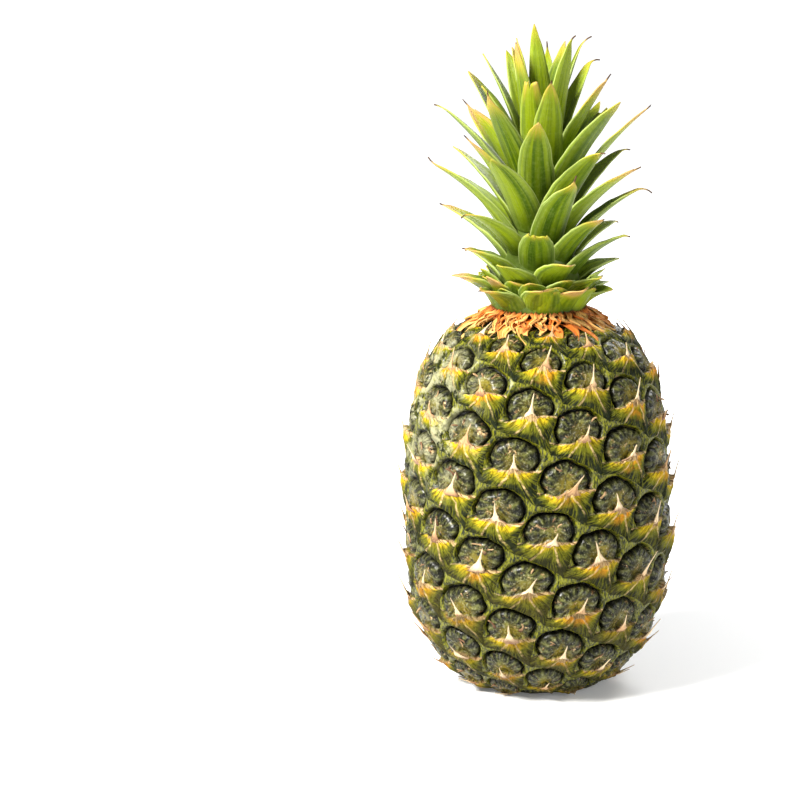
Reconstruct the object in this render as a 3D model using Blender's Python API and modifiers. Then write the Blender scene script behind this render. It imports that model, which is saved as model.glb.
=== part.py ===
"""A whole pineapple standing on its base: the fruit with its raised eyes, the cut stalk under it,
the dry bracts round its neck and the leafy crown.

Units are metres and +Z is up. The origin is the centre of the spot that the fruit rests on.
An azimuth is measured in degrees from the front (-Y) and grows towards the right (+X).
"""

import math
import random

import bmesh
import bpy
import numpy as np
from mathutils import Vector

# Fruit outline: two superellipse quarters that meet at the widest height
FRUIT_RADIUS = 0.0577
WIDEST_HEIGHT = 0.0740
LOWER_REACH = 0.0780
LOWER_POWER = 2.6
UPPER_REACH = 0.0940
UPPER_POWER = 3.2
FRUIT_TOP = 0.1665

# Eyes: two at each level, on opposite sides, so that seven levels bring one almost above another
LEVEL_TURN = 52.3
LEVEL_RISE = 0.00321
FRONT_EYE_AZIMUTH = 19.8
FRONT_EYE_HEIGHT = 0.1225
EYE_SHRINK = 0.6
LOW_SWAY = -6.0
SWAY_FROM = 0.100
SWAY_TO = 0.040

# Relief of an eye at the widest height: its rim is a groove, and each ring inside it has a
# count of points, a reach, and a height above, beside and below the middle
GROOVE_DEPTH = 0.0016
RIM_POINTS_PER_SIDE = 3
TOP_BULGE = 0.0022
SIDE_BULGE = 0.0016
EYE_RINGS = (
    (12, 0.0112, 0.0015, 0.0017, -0.0003),
    (8, 0.0062, 0.0021, 0.0029, 0.0014),
    (4, 0.0016, 0.0012, 0.0033, 0.0033),
)
RING_SHARE_OF_RIM = 0.82
TIP_BEYOND = 0.0026
TIP_UP = 0.0056
RELIEF_SHRINK = 0.7
EYE_SEED = 5
LOW_FADE = (0.5, 4.5)
HIGH_FADE = (4.5, 11.5)
PLAIN_BELOW = 0.04

# Base of the fruit, and the stalk in its recess
RECESS_RADIUS = 0.0135
RECESS_DEPTH = 0.0120
STALK_RADIUS = 0.0128
STALK_SHORT = 0.0004
STALK_SIDES = 28
GAP = 0.0004

# Neck bracts
NECK_HUB_RADIUS = 0.0232
NECK_HUB_HEIGHT = 0.0036
NECK_BRACTS = 23
NECK_BRACT_WIDTH = 0.0074
NECK_BRACT_THICK = 0.0009
NECK_BRACT_REACH = (0.0290, 0.0370)
NECK_CLEARANCE = 0.0017
NECK_BRACT_ROOT = 0.0185

# Crown: a tapered stem, with leaves up it at the golden angle
GOLDEN_ANGLE = 137.508
CROWN_FOOT = FRUIT_TOP + GAP + NECK_HUB_HEIGHT + GAP
STEM_HEIGHT = 0.0760
STEM_FOOT_RADIUS = 0.0208
STEM_TIP_RADIUS = 0.0040
LOWEST_ROOT = 0.0010
ROOT_SUNK = 0.0010
LEAVES = 58
FOOT_LEAVES = 7
FOOT_LEAF_SCALE = 0.85
FIRST_LEAF_AZIMUTH = 2.0
LEAF_THICK = 0.0012
LEAF_ROWS = 4
LEAF_COLUMNS = 2
LEAF_SEED = 11

COLOURS = {
    "fruit": ((0.20, 0.25, 0.06), 0.55),
    "stalk": ((0.48, 0.36, 0.18), 0.85),
    "neck_bracts": ((0.62, 0.30, 0.08), 0.70),
    "crown": ((0.22, 0.36, 0.04), 0.42),
}


def clear_scene():
    """Removes the objects that the file starts with."""
    for obj in list(bpy.data.objects):
        bpy.data.objects.remove(obj)


def smooth_step(low, high, value):
    """0 below low, 1 above high, and smooth between them."""
    t = min(1.0, max(0.0, (value - low) / (high - low)))
    return t * t * (3 - 2 * t)


def between(start, end, share):
    """Linear between two values."""
    return start + (end - start) * share


def around(azimuth, radius, height):
    """The point at this azimuth in degrees, this far from the axis."""
    turn = math.radians(azimuth)
    return Vector((radius * math.sin(turn), -radius * math.cos(turn), height))


class Outline:
    """The fruit's outline from its base to its top, read by the distance along it.

    That distance is stretched where the fruit is thinner, which is what makes its eyes smaller.
    """

    SAMPLES = 1500

    def __init__(self):
        start = math.asin((WIDEST_HEIGHT / LOWER_REACH) ** (LOWER_POWER / 2))
        end = math.asin(((FRUIT_TOP - WIDEST_HEIGHT) / UPPER_REACH) ** (UPPER_POWER / 2))
        down = np.linspace(start, 0, self.SAMPLES)
        up = np.linspace(0, end, self.SAMPLES)[1:]
        self.radius = FRUIT_RADIUS * np.concatenate(
            [np.cos(down) ** (2 / LOWER_POWER), np.cos(up) ** (2 / UPPER_POWER)]
        )
        self.height = WIDEST_HEIGHT + np.concatenate(
            [-LOWER_REACH * np.sin(down) ** (2 / LOWER_POWER), UPPER_REACH * np.sin(up) ** (2 / UPPER_POWER)]
        )
        steps = np.hypot(np.diff(self.radius), np.diff(self.height))
        middle = (self.radius[1:] + self.radius[:-1]) / 2
        stretched = steps * (FRUIT_RADIUS / middle) ** EYE_SHRINK
        self.along = np.concatenate([[0.0], np.cumsum(stretched)])
        self.out = np.gradient(self.height, self.along)
        self.rise = -np.gradient(self.radius, self.along)

    def at(self, along):
        """Radius, height, and the outward normal as (radial, upward)."""
        radius = float(np.interp(along, self.along, self.radius))
        height = float(np.interp(along, self.along, self.height))
        out = float(np.interp(along, self.along, self.out))
        rise = float(np.interp(along, self.along, self.rise))
        size = math.hypot(out, rise)
        return radius, height, out / size, rise / size

    def along_of_height(self, height):
        """The distance along the outline at which it has this height."""
        return float(np.interp(height, self.height, self.along))

    def shoulder_height(self, radius):
        """The height of the outline's upper half where it has this radius."""
        upper = self.height > WIDEST_HEIGHT
        return float(np.interp(-radius, -self.radius[upper], self.height[upper]))


OUTLINE = Outline()
FRONT_EYE_ALONG = OUTLINE.along_of_height(FRONT_EYE_HEIGHT)
OUTLINE_LENGTH = float(OUTLINE.along[-1])


def step_between_eyes(levels):
    """From an eye to the nearest one that many levels up, in metres at the widest height."""
    turn = (levels * LEVEL_TURN + 90) % 180 - 90
    return Vector((FRUIT_RADIUS * math.radians(turn), levels * LEVEL_RISE))


def eye_rim():
    """The points round an eye's cell, which is a sheared square that the steps to the eyes beside
    and above it span. Neighbouring cells share them."""
    beside = step_between_eyes(3)
    above = step_between_eyes(7)
    corners = [(above - beside) / 2, (above + beside) / 2, (beside - above) / 2, -(above + beside) / 2]
    bulges = [TOP_BULGE * Vector((-beside.y, beside.x)).normalized() * -1, SIDE_BULGE * beside.normalized()]
    points = []
    for number, corner in enumerate(corners):
        following = corners[(number + 1) % 4]
        for step in range(RIM_POINTS_PER_SIDE):
            share = step / RIM_POINTS_PER_SIDE
            points.append(corner.lerp(following, share) + bulges[number % 2] * 4 * share * (1 - share))
    return points


def eye_ring(rim, count, reach, heights):
    """One ring of points inside the rim, each as (across, up, out)."""
    above, beside, below = heights
    points = []
    for number in range(count):
        if count == len(rim):
            angle = math.atan2(rim[number].y, rim[number].x)
            reach_here = min(reach, RING_SHARE_OF_RIM * rim[number].length)
        else:
            angle = math.atan2(rim[0].y, rim[0].x) + math.tau * number / count
            reach_here = reach
        lift = math.sin(angle)
        out = beside + max(0.0, lift) * (above - beside) + max(0.0, -lift) * (below - beside)
        points.append((reach_here * math.cos(angle), reach_here * math.sin(angle), out))
    return points


def eyes():
    """Where each eye is, as (across, up) in metres at the widest height."""
    found = []
    first = math.floor(-FRONT_EYE_ALONG / LEVEL_RISE) - 5
    last = math.ceil((OUTLINE_LENGTH - FRONT_EYE_ALONG) / LEVEL_RISE) + 5
    for level in range(first, last + 1):
        for side in (0, 180):
            azimuth = FRONT_EYE_AZIMUTH + level * LEVEL_TURN + side
            found.append((FRUIT_RADIUS * math.radians(azimuth % 360), FRONT_EYE_ALONG + level * LEVEL_RISE))
    return found


def stitch(bm, outer, inner):
    """Joins two closed rings of vertices with triangles."""
    i = j = 0
    while i < len(outer) or j < len(inner):
        outer_next = (i + 1) / len(outer)
        inner_next = (j + 1) / len(inner)
        here, there = outer[i % len(outer)], inner[j % len(inner)]
        if outer_next <= inner_next:
            bm.faces.new((here, outer[(i + 1) % len(outer)], there))
            i += 1
        else:
            bm.faces.new((here, inner[(j + 1) % len(inner)], there))
            j += 1


def fade(up):
    """1 for full relief, and 0 at the ends of the outline."""
    low = smooth_step(*LOW_FADE, up / LEVEL_RISE)
    high = smooth_step(*HIGH_FADE, (OUTLINE_LENGTH - up) / LEVEL_RISE)
    return low * high


def add_eye(bm, rim, middle, draw):
    """One eye, still flat: its groove, its raised rings and its pointed tip."""
    across, up = middle
    taller = draw.uniform(0.88, 1.12)
    tip_longer = draw.uniform(0.75, 1.15) * fade(up) ** 2
    lean = draw.uniform(-0.0016, 0.0016)
    ring = [
        bm.verts.new((across + point.x, up + point.y, -GROOVE_DEPTH * fade(up + point.y))) for point in rim
    ]
    if fade(up) < PLAIN_BELOW:
        bm.faces.new(ring)
        return
    for count, reach, *heights in EYE_RINGS:
        inner = []
        for x, y, out in eye_ring(rim, count, reach, heights):
            inner.append(bm.verts.new((across + x, up + y, out * taller * fade(up + y))))
        stitch(bm, ring, inner)
        ring = inner
    raised = EYE_RINGS[-1][-1] * taller * fade(up) + TIP_BEYOND * tip_longer
    tip = bm.verts.new((across + lean * tip_longer, up + TIP_UP * tip_longer, raised))
    for number, vert in enumerate(ring):
        bm.faces.new((vert, ring[(number + 1) % len(ring)], tip))


def cut_ends(bm):
    """Cuts the flat relief off square at both ends of the outline."""
    for up, away in ((0.0, -1), (OUTLINE_LENGTH, 1)):
        bmesh.ops.bisect_plane(
            bm,
            geom=[*bm.verts, *bm.edges, *bm.faces],
            dist=1e-6,
            plane_co=(0, up, 0),
            plane_no=(0, away, 0),
            clear_outer=True,
        )


def sway(height):
    """How far the columns of eyes are turned low down on the fruit, in degrees."""
    return LOW_SWAY * (1 - smooth_step(SWAY_TO, SWAY_FROM, height))


def wrap(vert):
    """Moves a vertex of the flat relief to its place on the fruit."""
    radius, height, normal_out, normal_up = OUTLINE.at(vert.co.y)
    out = vert.co.z * (radius / FRUIT_RADIUS) ** RELIEF_SHRINK
    azimuth = math.degrees(vert.co.x / FRUIT_RADIUS) + sway(height)
    vert.co = around(azimuth, radius + out * normal_out, height + out * normal_up)


def add_object(name, bm, collection):
    """Makes the bmesh an object of that name, with the colour of its finish."""
    mesh = bpy.data.meshes.new(name)
    bm.to_mesh(mesh)
    bm.free()
    obj = bpy.data.objects.new(name, mesh)
    collection.objects.link(obj)
    return obj


def paint(obj):
    """Gives the object the plain material of its node."""
    colour, roughness = COLOURS[obj.name]
    material = bpy.data.materials.new(obj.name)
    material.use_nodes = True
    shader = material.node_tree.nodes["Principled BSDF"]
    shader.inputs["Base Color"].default_value = (*colour, 1.0)
    shader.inputs["Roughness"].default_value = roughness
    obj.data.materials.clear()
    obj.data.materials.append(material)


def boundary_loop(bm, low):
    """The open edges at the lower or the upper end of the skin."""
    edges = [edge for edge in bm.edges if edge.is_boundary]
    return [edge for edge in edges if (edge.verts[0].co.z < WIDEST_HEIGHT) == low]


def make_fruit(collection):
    """The fruit's one body: the flat relief of its eyes, cut at both ends and wrapped round."""
    draw = random.Random(EYE_SEED)
    rim = eye_rim()
    bm = bmesh.new()
    for middle in eyes():
        add_eye(bm, rim, middle, draw)
    cut_ends(bm)
    for vert in bm.verts:
        wrap(vert)
    bmesh.ops.remove_doubles(bm, verts=bm.verts, dist=0.00003)
    close_base(bm)
    bmesh.ops.holes_fill(bm, edges=boundary_loop(bm, low=False), sides=0)
    bmesh.ops.recalc_face_normals(bm, faces=bm.faces)
    fruit = add_object("fruit", bm, collection)
    paint(fruit)


def close_base(bm):
    """The flat ring that the fruit rests on, and the plain recess for the stalk."""
    loop = boundary_loop(bm, low=True)
    ring = bmesh.ops.extrude_edge_only(bm, edges=loop)["geom"]
    verts = [item for item in ring if isinstance(item, bmesh.types.BMVert)]
    for vert in verts:
        flat = Vector((vert.co.x, vert.co.y))
        vert.co.x, vert.co.y = flat.normalized() * RECESS_RADIUS
        vert.co.z = 0.0
    edges = [item for item in ring if isinstance(item, bmesh.types.BMEdge)]
    wall = bmesh.ops.extrude_edge_only(bm, edges=edges)["geom"]
    for item in wall:
        if isinstance(item, bmesh.types.BMVert):
            item.co.z = RECESS_DEPTH
    bmesh.ops.holes_fill(
        bm, edges=[item for item in wall if isinstance(item, bmesh.types.BMEdge)], sides=0
    )


def make_stalk(collection):
    """The cut end of the stalk, in the recess, just clear of the surface under the fruit."""
    height = RECESS_DEPTH - GAP - STALK_SHORT
    bm = bmesh.new()
    bmesh.ops.create_cone(
        bm,
        cap_ends=True,
        segments=STALK_SIDES,
        radius1=STALK_RADIUS,
        radius2=STALK_RADIUS * 0.96,
        depth=height,
    )
    for vert in bm.verts:
        vert.co.z += STALK_SHORT + height / 2
    paint(add_object("stalk", bm, collection))


def blade(name, rows, columns, thick, shape, collection):
    """A leaf or bract: a grid bent by shape(side, along), with a thickness from Solidify.

    Side runs from -1 to 1 across the blade and along from 0 at its root to 1 at its tip.
    """
    bm = bmesh.new()
    bmesh.ops.create_grid(bm, x_segments=columns, y_segments=rows, size=1.0)
    for vert in bm.verts:
        vert.co = shape(vert.co.x, (vert.co.y + 1) / 2)
    bmesh.ops.triangulate(bm, faces=bm.faces, quad_method="ALTERNATE")
    obj = add_object(name, bm, collection)
    solidify = obj.modifiers.new("Thickness", "SOLIDIFY")
    solidify.thickness = thick
    solidify.offset = 0.0
    return obj


def keep_outer_skin(mesh):
    """Fills the hollows that the union sealed in, and drops its loose scraps."""
    bm = bmesh.new()
    bm.from_mesh(mesh)
    left = set(bm.verts)
    pieces = []
    while left:
        reached = [left.pop()]
        piece = []
        while reached:
            vert = reached.pop()
            piece.append(vert)
            for edge in vert.link_edges:
                other = edge.other_vert(vert)
                if other in left:
                    left.remove(other)
                    reached.append(other)
        pieces.append(piece)
    pieces.sort(key=len)
    for piece in pieces[:-1]:
        bmesh.ops.delete(bm, geom=piece, context="VERTS")
    bm.to_mesh(mesh)
    bm.free()


def join_blades(core, name, blades):
    """One Boolean union of the core with its blades, which are then removed."""
    union = core.modifiers.new("Blades", "BOOLEAN")
    union.operation = "UNION"
    union.operand_type = "COLLECTION"
    union.collection = blades
    union.solver = "MANIFOLD"
    graph = bpy.context.evaluated_depsgraph_get()
    mesh = bpy.data.meshes.new_from_object(core.evaluated_get(graph))
    core.modifiers.clear()
    keep_outer_skin(mesh)
    core.data = mesh
    core.name = name
    for obj in list(blades.objects):
        bpy.data.objects.remove(obj)
    bpy.data.collections.remove(blades)
    paint(core)


def new_collection(name):
    """An empty collection in the scene."""
    made = bpy.data.collections.new(name)
    bpy.context.scene.collection.children.link(made)
    return made


def neck_bract_shape(azimuth, reach, lift, curl):
    """A dry bract that leaves the hub, bends over and lies along the shoulder of the fruit."""
    root = FRUIT_TOP + GAP + NECK_HUB_HEIGHT / 2

    def shape(side, along):
        radius = between(NECK_BRACT_ROOT, reach, along)
        width = NECK_BRACT_WIDTH * (1 - 0.75 * along**1.5)
        over = smooth_step(NECK_HUB_RADIUS, NECK_HUB_RADIUS + 0.005, radius)
        height = between(root, OUTLINE.shoulder_height(radius) + NECK_CLEARANCE, over)
        arch = lift * math.sin(math.pi * along)
        turned = azimuth + math.degrees(side * width / 2 / radius) + curl * along * along
        return around(turned, radius, height + arch)

    return shape


def make_neck_bracts(collection):
    """The hub under the crown, with its ring of dry bracts."""
    draw = random.Random(LEAF_SEED)
    bm = bmesh.new()
    bmesh.ops.create_cone(
        bm,
        cap_ends=True,
        segments=42,
        radius1=NECK_HUB_RADIUS,
        radius2=NECK_HUB_RADIUS * 0.94,
        depth=NECK_HUB_HEIGHT,
    )
    for vert in bm.verts:
        vert.co.z += FRUIT_TOP + GAP + NECK_HUB_HEIGHT / 2
    hub = add_object("hub", bm, collection)
    blades = new_collection("neck_blades")
    for number in range(NECK_BRACTS):
        azimuth = number * 360.0 / NECK_BRACTS + draw.uniform(-3, 3)
        reach = draw.uniform(*NECK_BRACT_REACH)
        shape = neck_bract_shape(azimuth, reach, draw.uniform(0.0002, 0.0022), draw.uniform(-12, 12))
        blade(f"bract_{number}", 5, 1, NECK_BRACT_THICK, shape, blades)
    join_blades(hub, "neck_bracts", blades)


class Leaf:
    """One leaf of the crown, placed by its number from the lowest."""

    def __init__(self, number, draw):
        share = max(0, number) / (LEAVES - 1)
        self.azimuth = FIRST_LEAF_AZIMUTH + number * GOLDEN_ANGLE + draw.uniform(-6, 6)
        self.root_height = CROWN_FOOT + LOWEST_ROOT + (STEM_HEIGHT - 0.004 - LOWEST_ROOT) * share**0.95
        stem_share = (self.root_height - CROWN_FOOT) / STEM_HEIGHT
        self.root_radius = between(STEM_FOOT_RADIUS, STEM_TIP_RADIUS, stem_share) - ROOT_SUNK
        grown = smooth_step(0.0, 0.62, share)
        self.length = between(0.0215, 0.0540, grown) - 0.001 * share
        self.length *= draw.uniform(0.90, 1.14) * (1.0 if number >= 0 else FOOT_LEAF_SCALE)
        self.width = between(0.0185, 0.0212, grown) - 0.0080 * smooth_step(0.6, 1.0, share)
        lean = between(60.0, 9.0, share**1.8) * draw.uniform(0.92, 1.08)
        self.root_lean = lean - between(26.0, 6.0, share)
        self.tip_lean = lean + between(20.0, 5.0, share)
        self.side_lean = draw.uniform(-6, 6)
        self.cup = between(62.0, 40.0, share)

    def centre(self, along):
        """(radius, height, lean in radians) of the midrib, a share of the way along it."""
        radius, height = self.root_radius, self.root_height
        steps = 12
        for step in range(steps):
            here = along * (step + 0.5) / steps
            lean = math.radians(between(self.root_lean, self.tip_lean, here))
            radius += math.sin(lean) * self.length * along / steps
            height += math.cos(lean) * self.length * along / steps
        return radius, height, math.radians(between(self.root_lean, self.tip_lean, along))

    def half_width(self, along):
        """Half of the blade's width there."""
        share = (1 - along) ** 0.75 * (0.80 + 0.95 * along)
        return max(0.0005, self.width / 2 * share)

    def point(self, side, along):
        """The point of the blade there. Its edges curl up and in from the midrib."""
        radius, height, lean = self.centre(along)
        half = self.half_width(along)
        cup = math.radians(between(self.cup, 16.0, along))
        bend = half / cup
        across = bend * math.sin(side * cup)
        rise = bend * (1 - math.cos(side * cup))
        radial = radius - rise * math.cos(lean)
        upward = height + rise * math.sin(lean)
        turn = math.radians(self.azimuth)
        out = Vector((math.sin(turn), -math.cos(turn), 0))
        aside = Vector((math.cos(turn), math.sin(turn), 0))
        drift = math.tan(math.radians(self.side_lean)) * self.length * along * along
        return out * radial + aside * (across + drift) + Vector((0, 0, upward))


def crown_leaves():
    """All the leaves, lowest first."""
    draw = random.Random(LEAF_SEED)
    return [Leaf(number, draw) for number in range(-FOOT_LEAVES, LEAVES)]


def make_crown(collection):
    """The crown's stem, with its leaves fused to it."""
    bm = bmesh.new()
    bmesh.ops.create_cone(
        bm,
        cap_ends=True,
        segments=20,
        radius1=STEM_FOOT_RADIUS,
        radius2=STEM_TIP_RADIUS,
        depth=STEM_HEIGHT,
    )
    for vert in bm.verts:
        vert.co.z += CROWN_FOOT + STEM_HEIGHT / 2
    stem = add_object("stem", bm, collection)
    blades = new_collection("crown_blades")
    for number, leaf in enumerate(crown_leaves()):
        blade(f"leaf_{number}", LEAF_ROWS, LEAF_COLUMNS, LEAF_THICK, leaf.point, blades)
    join_blades(stem, "crown", blades)


def main():
    clear_scene()
    pineapple = new_collection("pineapple")
    make_fruit(pineapple)
    make_stalk(pineapple)
    make_neck_bracts(pineapple)
    make_crown(pineapple)


main()
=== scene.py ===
"""The looks of a whole pineapple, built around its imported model.

Units are metres and +Z is up. The camera faces +Y. An azimuth is in degrees from the front (-Y)
and grows towards the right (+X).
"""

from __future__ import annotations

import logging
import math
import random
from abc import ABC, abstractmethod
from collections.abc import Iterator
from dataclasses import dataclass
from enum import Enum

import bmesh
import bpy
import numpy as np
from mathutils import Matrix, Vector, noise


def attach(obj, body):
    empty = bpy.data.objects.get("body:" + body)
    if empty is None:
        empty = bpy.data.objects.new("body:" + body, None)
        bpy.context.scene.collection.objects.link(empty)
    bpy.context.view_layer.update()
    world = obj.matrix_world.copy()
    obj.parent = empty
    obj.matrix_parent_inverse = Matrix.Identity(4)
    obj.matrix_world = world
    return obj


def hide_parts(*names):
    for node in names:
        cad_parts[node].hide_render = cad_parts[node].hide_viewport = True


LOG = logging.getLogger("pineapple")
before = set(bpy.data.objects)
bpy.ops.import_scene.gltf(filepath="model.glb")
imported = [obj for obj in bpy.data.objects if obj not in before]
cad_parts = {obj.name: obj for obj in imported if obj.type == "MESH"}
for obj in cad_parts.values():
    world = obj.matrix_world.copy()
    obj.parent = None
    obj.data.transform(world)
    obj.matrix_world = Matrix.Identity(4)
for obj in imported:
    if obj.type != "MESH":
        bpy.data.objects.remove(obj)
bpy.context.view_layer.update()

# Directions of the two keels of each bract, in radians from the right, as seen on the flat eye
KEEL_ANGLES = (-1.04, -2.30)

Colour = tuple[float, float, float]
Pair = tuple[float, float]
Numbers = np.ndarray | float


def smooth_step(low: float, high: float, value: Numbers) -> np.ndarray:
    """0 below low, 1 above high, and smooth between them."""
    t = np.clip((np.asarray(value, dtype=float) - low) / (high - low), 0.0, 1.0)
    return t * t * (3 - 2 * t)


def between(start: Numbers, end: Numbers, share: Numbers) -> Numbers:
    """Linear between two values."""
    return start + (end - start) * share


def fractal(points: np.ndarray, size: float, seed: float = 0.0) -> np.ndarray:
    """Smooth noise of about -1 to 1 at each point, with larger bumps of this width in metres."""
    scaled = points / size + seed
    return np.array([noise.fractal(Vector(row), 1.0, 2.0, 3) for row in scaled.tolist()])


def edge_noise(side: np.ndarray, along: np.ndarray, seed: float, layer: float = 0.0) -> np.ndarray:
    """Noise of about -1 to 1 along a blade, with values of its own for each of its two edges."""
    return np.array([noise.noise(Vector((a, s + seed, layer))) for a, s in zip(along, np.sign(side))])


class Mesh:
    """What every piece here needs from Blender's mesh tools."""

    @staticmethod
    def only(obj: bpy.types.Object) -> None:
        """Selects this object alone and makes it active."""
        bpy.ops.object.select_all(action="DESELECT")
        obj.select_set(True)
        bpy.context.view_layer.objects.active = obj

    @staticmethod
    def named(name: str) -> bpy.types.Object:
        """The active object, with this name for it and for its mesh."""
        obj = bpy.context.active_object
        obj.name = obj.data.name = name
        return obj

    @staticmethod
    def coordinates(obj: bpy.types.Object) -> np.ndarray:
        """The object's vertices, one row each."""
        flat = np.empty(len(obj.data.vertices) * 3)
        obj.data.vertices.foreach_get("co", flat)
        return flat.reshape(-1, 3)

    @staticmethod
    def place(obj: bpy.types.Object, points: np.ndarray) -> None:
        """Moves the object's vertices to these points."""
        obj.data.vertices.foreach_set("co", np.ascontiguousarray(points, dtype=float).ravel())
        obj.data.update()

    @staticmethod
    def grid(columns: int, rows: int) -> bpy.types.Object:
        """A flat grid from -1 to 1 in x and y, with this many faces each way and no UV map."""
        bpy.ops.object.select_all(action="DESELECT")
        bpy.ops.mesh.primitive_grid_add(
            x_subdivisions=columns, y_subdivisions=rows, size=2, calc_uvs=False
        )
        return Mesh.named("flat_grid")

    @staticmethod
    def corner_map(obj: bpy.types.Object, name: str, u: Numbers, v: Numbers) -> None:
        """Stores two values of each vertex, or two values for the whole object, as a UV map."""
        corners = np.empty(len(obj.data.loops), dtype=np.int32)
        obj.data.loops.foreach_get("vertex_index", corners)
        count = len(obj.data.vertices)
        pair = np.stack([np.broadcast_to(value, count)[corners] for value in (u, v)], axis=1)
        obj.data.uv_layers.new(name=name).uv.foreach_set("vector", pair.astype(np.float32).ravel())

    @staticmethod
    def join(parts: list[bpy.types.Object], name: str) -> bpy.types.Object:
        """Joins the parts into one object of that name."""
        Mesh.only(parts[0])
        for part in parts:
            part.select_set(True)
        bpy.ops.object.join()
        return Mesh.named(name)

    @staticmethod
    def apply(obj: bpy.types.Object) -> None:
        """Applies every modifier of the object, in order."""
        Mesh.only(obj)
        for modifier in list(obj.modifiers):
            bpy.ops.object.modifier_apply(modifier=modifier.name)

    @staticmethod
    def weld(obj: bpy.types.Object, distance: float) -> None:
        """Merges vertices closer than the distance."""
        Mesh.only(obj)
        bpy.ops.object.mode_set(mode="EDIT")
        bpy.ops.mesh.select_all(action="SELECT")
        bpy.ops.mesh.remove_doubles(threshold=distance)
        bpy.ops.object.mode_set(mode="OBJECT")

    @staticmethod
    def copy(obj: bpy.types.Object) -> bpy.types.Object:
        """A copy of the object with its own mesh."""
        twin = obj.copy()
        twin.data = obj.data.copy()
        bpy.context.collection.objects.link(twin)
        return twin

    @staticmethod
    def smooth(obj: bpy.types.Object) -> None:
        """Shades the object smooth."""
        Mesh.only(obj)
        bpy.ops.object.shade_smooth()


class Signal:
    """A shader value that can be added, multiplied and ramped."""

    def __init__(self, graph: Graph, socket: bpy.types.NodeSocket) -> None:
        """Keeps the socket with the graph that it is in."""
        self.graph = graph
        self.socket = socket

    def __add__(self, other: Feed) -> Signal:
        """The sum."""
        return self.graph.math("ADD", self, other)

    def __sub__(self, other: Feed) -> Signal:
        """The difference."""
        return self.graph.math("SUBTRACT", self, other)

    def __rsub__(self, other: float) -> Signal:
        """A number less this value."""
        return self.graph.math("SUBTRACT", other, self)

    def __mul__(self, other: Feed) -> Signal:
        """The product."""
        return self.graph.math("MULTIPLY", self, other)

    def __abs__(self) -> Signal:
        """The value without its sign."""
        return self.graph.math("ABSOLUTE", self)

    def ramp(self, low: float, high: float, start: float = 0.0, end: float = 1.0) -> Signal:
        """Smoothly from start to end as this value goes from low to high."""
        inputs = {"Value": self, "From Min": low, "From Max": high, "To Min": start, "To Max": end}
        return self.graph.add("MapRange", {"interpolation_type": "SMOOTHSTEP"}, inputs)


Feed = Signal | float | Colour


class Graph:
    """A node tree under construction."""

    def __init__(self, tree: bpy.types.NodeTree) -> None:
        """Starts on the tree as it is."""
        self.tree = tree

    def fill(self, node: bpy.types.Node, values: dict[str | int, Feed]) -> None:
        """Links each signal to the node's input of that name or number, or sets the input's value."""
        for key, value in values.items():
            socket = node.inputs[key]
            if isinstance(value, Signal):
                self.tree.links.new(value.socket, socket)
            elif socket.type == "RGBA":
                socket.default_value = (*value, 1.0)
            else:
                socket.default_value = value

    def add(
        self, kind: str, settings: dict | None = None, inputs: dict | None = None, output: int | str = 0
    ) -> Signal:
        """Adds a node.

        Args:
            kind: The node's type, without the ShaderNode in front.
            settings: Its properties.
            inputs: Signals or values for its inputs, by name or number.
            output: The name or number of the output that is wanted.

        Returns:
            That output.
        """
        made = self.tree.nodes.new("ShaderNode" + kind)
        for key, value in (settings or {}).items():
            setattr(made, key, value)
        self.fill(made, inputs or {})
        return Signal(self, made.outputs[output])

    def math(self, operation: str, first: Feed, second: Feed = 0.0, clamp: bool = False) -> Signal:
        """One step of arithmetic."""
        return self.add("Math", {"operation": operation, "use_clamp": clamp}, {0: first, 1: second})

    def mix(self, share: Feed, first: Feed, second: Feed) -> Signal:
        """Mixes two colours."""
        return self.add("Mix", {"data_type": "RGBA"}, {0: share, 6: first, 7: second}, 2)

    def noise(self, place: Feed, scale: Feed, detail: float = 3.0, rough: float = 0.55) -> Signal:
        """Blender's noise texture, from 0 to 1."""
        inputs = {"Vector": place, "Scale": scale, "Detail": detail, "Roughness": rough}
        return self.add("TexNoise", {}, inputs)

    def split(self, vector: Signal) -> list[Signal]:
        """The three values of a vector."""
        first = self.add("SeparateXYZ", {}, {0: vector})
        return [Signal(self, socket) for socket in first.socket.node.outputs]

    def uv(self, name: str) -> list[Signal]:
        """The two values of the UV map of that name."""
        return self.split(self.add("UVMap", {"uv_map": name}))[:2]

    def vector(self, x: Feed, y: Feed, z: Feed = 0.0) -> Signal:
        """Three values as one vector."""
        return self.add("CombineXYZ", {}, {0: x, 1: y, 2: z})

    def length(self, vector: Signal) -> Signal:
        """How long the vector is."""
        return self.add("VectorMath", {"operation": "LENGTH"}, {0: vector}, "Value")

    def place(self) -> Signal:
        """Object coordinates."""
        return self.add("TexCoord", output="Object")

    def bump(self, height: Signal, strength: float, distance: float, under: Signal | None = None) -> Signal:
        """A normal from a height, on top of another normal where one is given."""
        inputs = {"Height": height, "Strength": strength, "Distance": distance}
        return self.add("Bump", {}, inputs if under is None else inputs | {"Normal": under})

    def group(self, tree: bpy.types.NodeTree, inputs: dict[str, Feed]) -> dict[str, Signal]:
        """Places a node group with its own values, and gives its outputs by name."""
        made = self.tree.nodes.new("ShaderNodeGroup")
        made.node_tree = tree
        self.fill(made, inputs)
        return {socket.name: Signal(self, socket) for socket in made.outputs}


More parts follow.
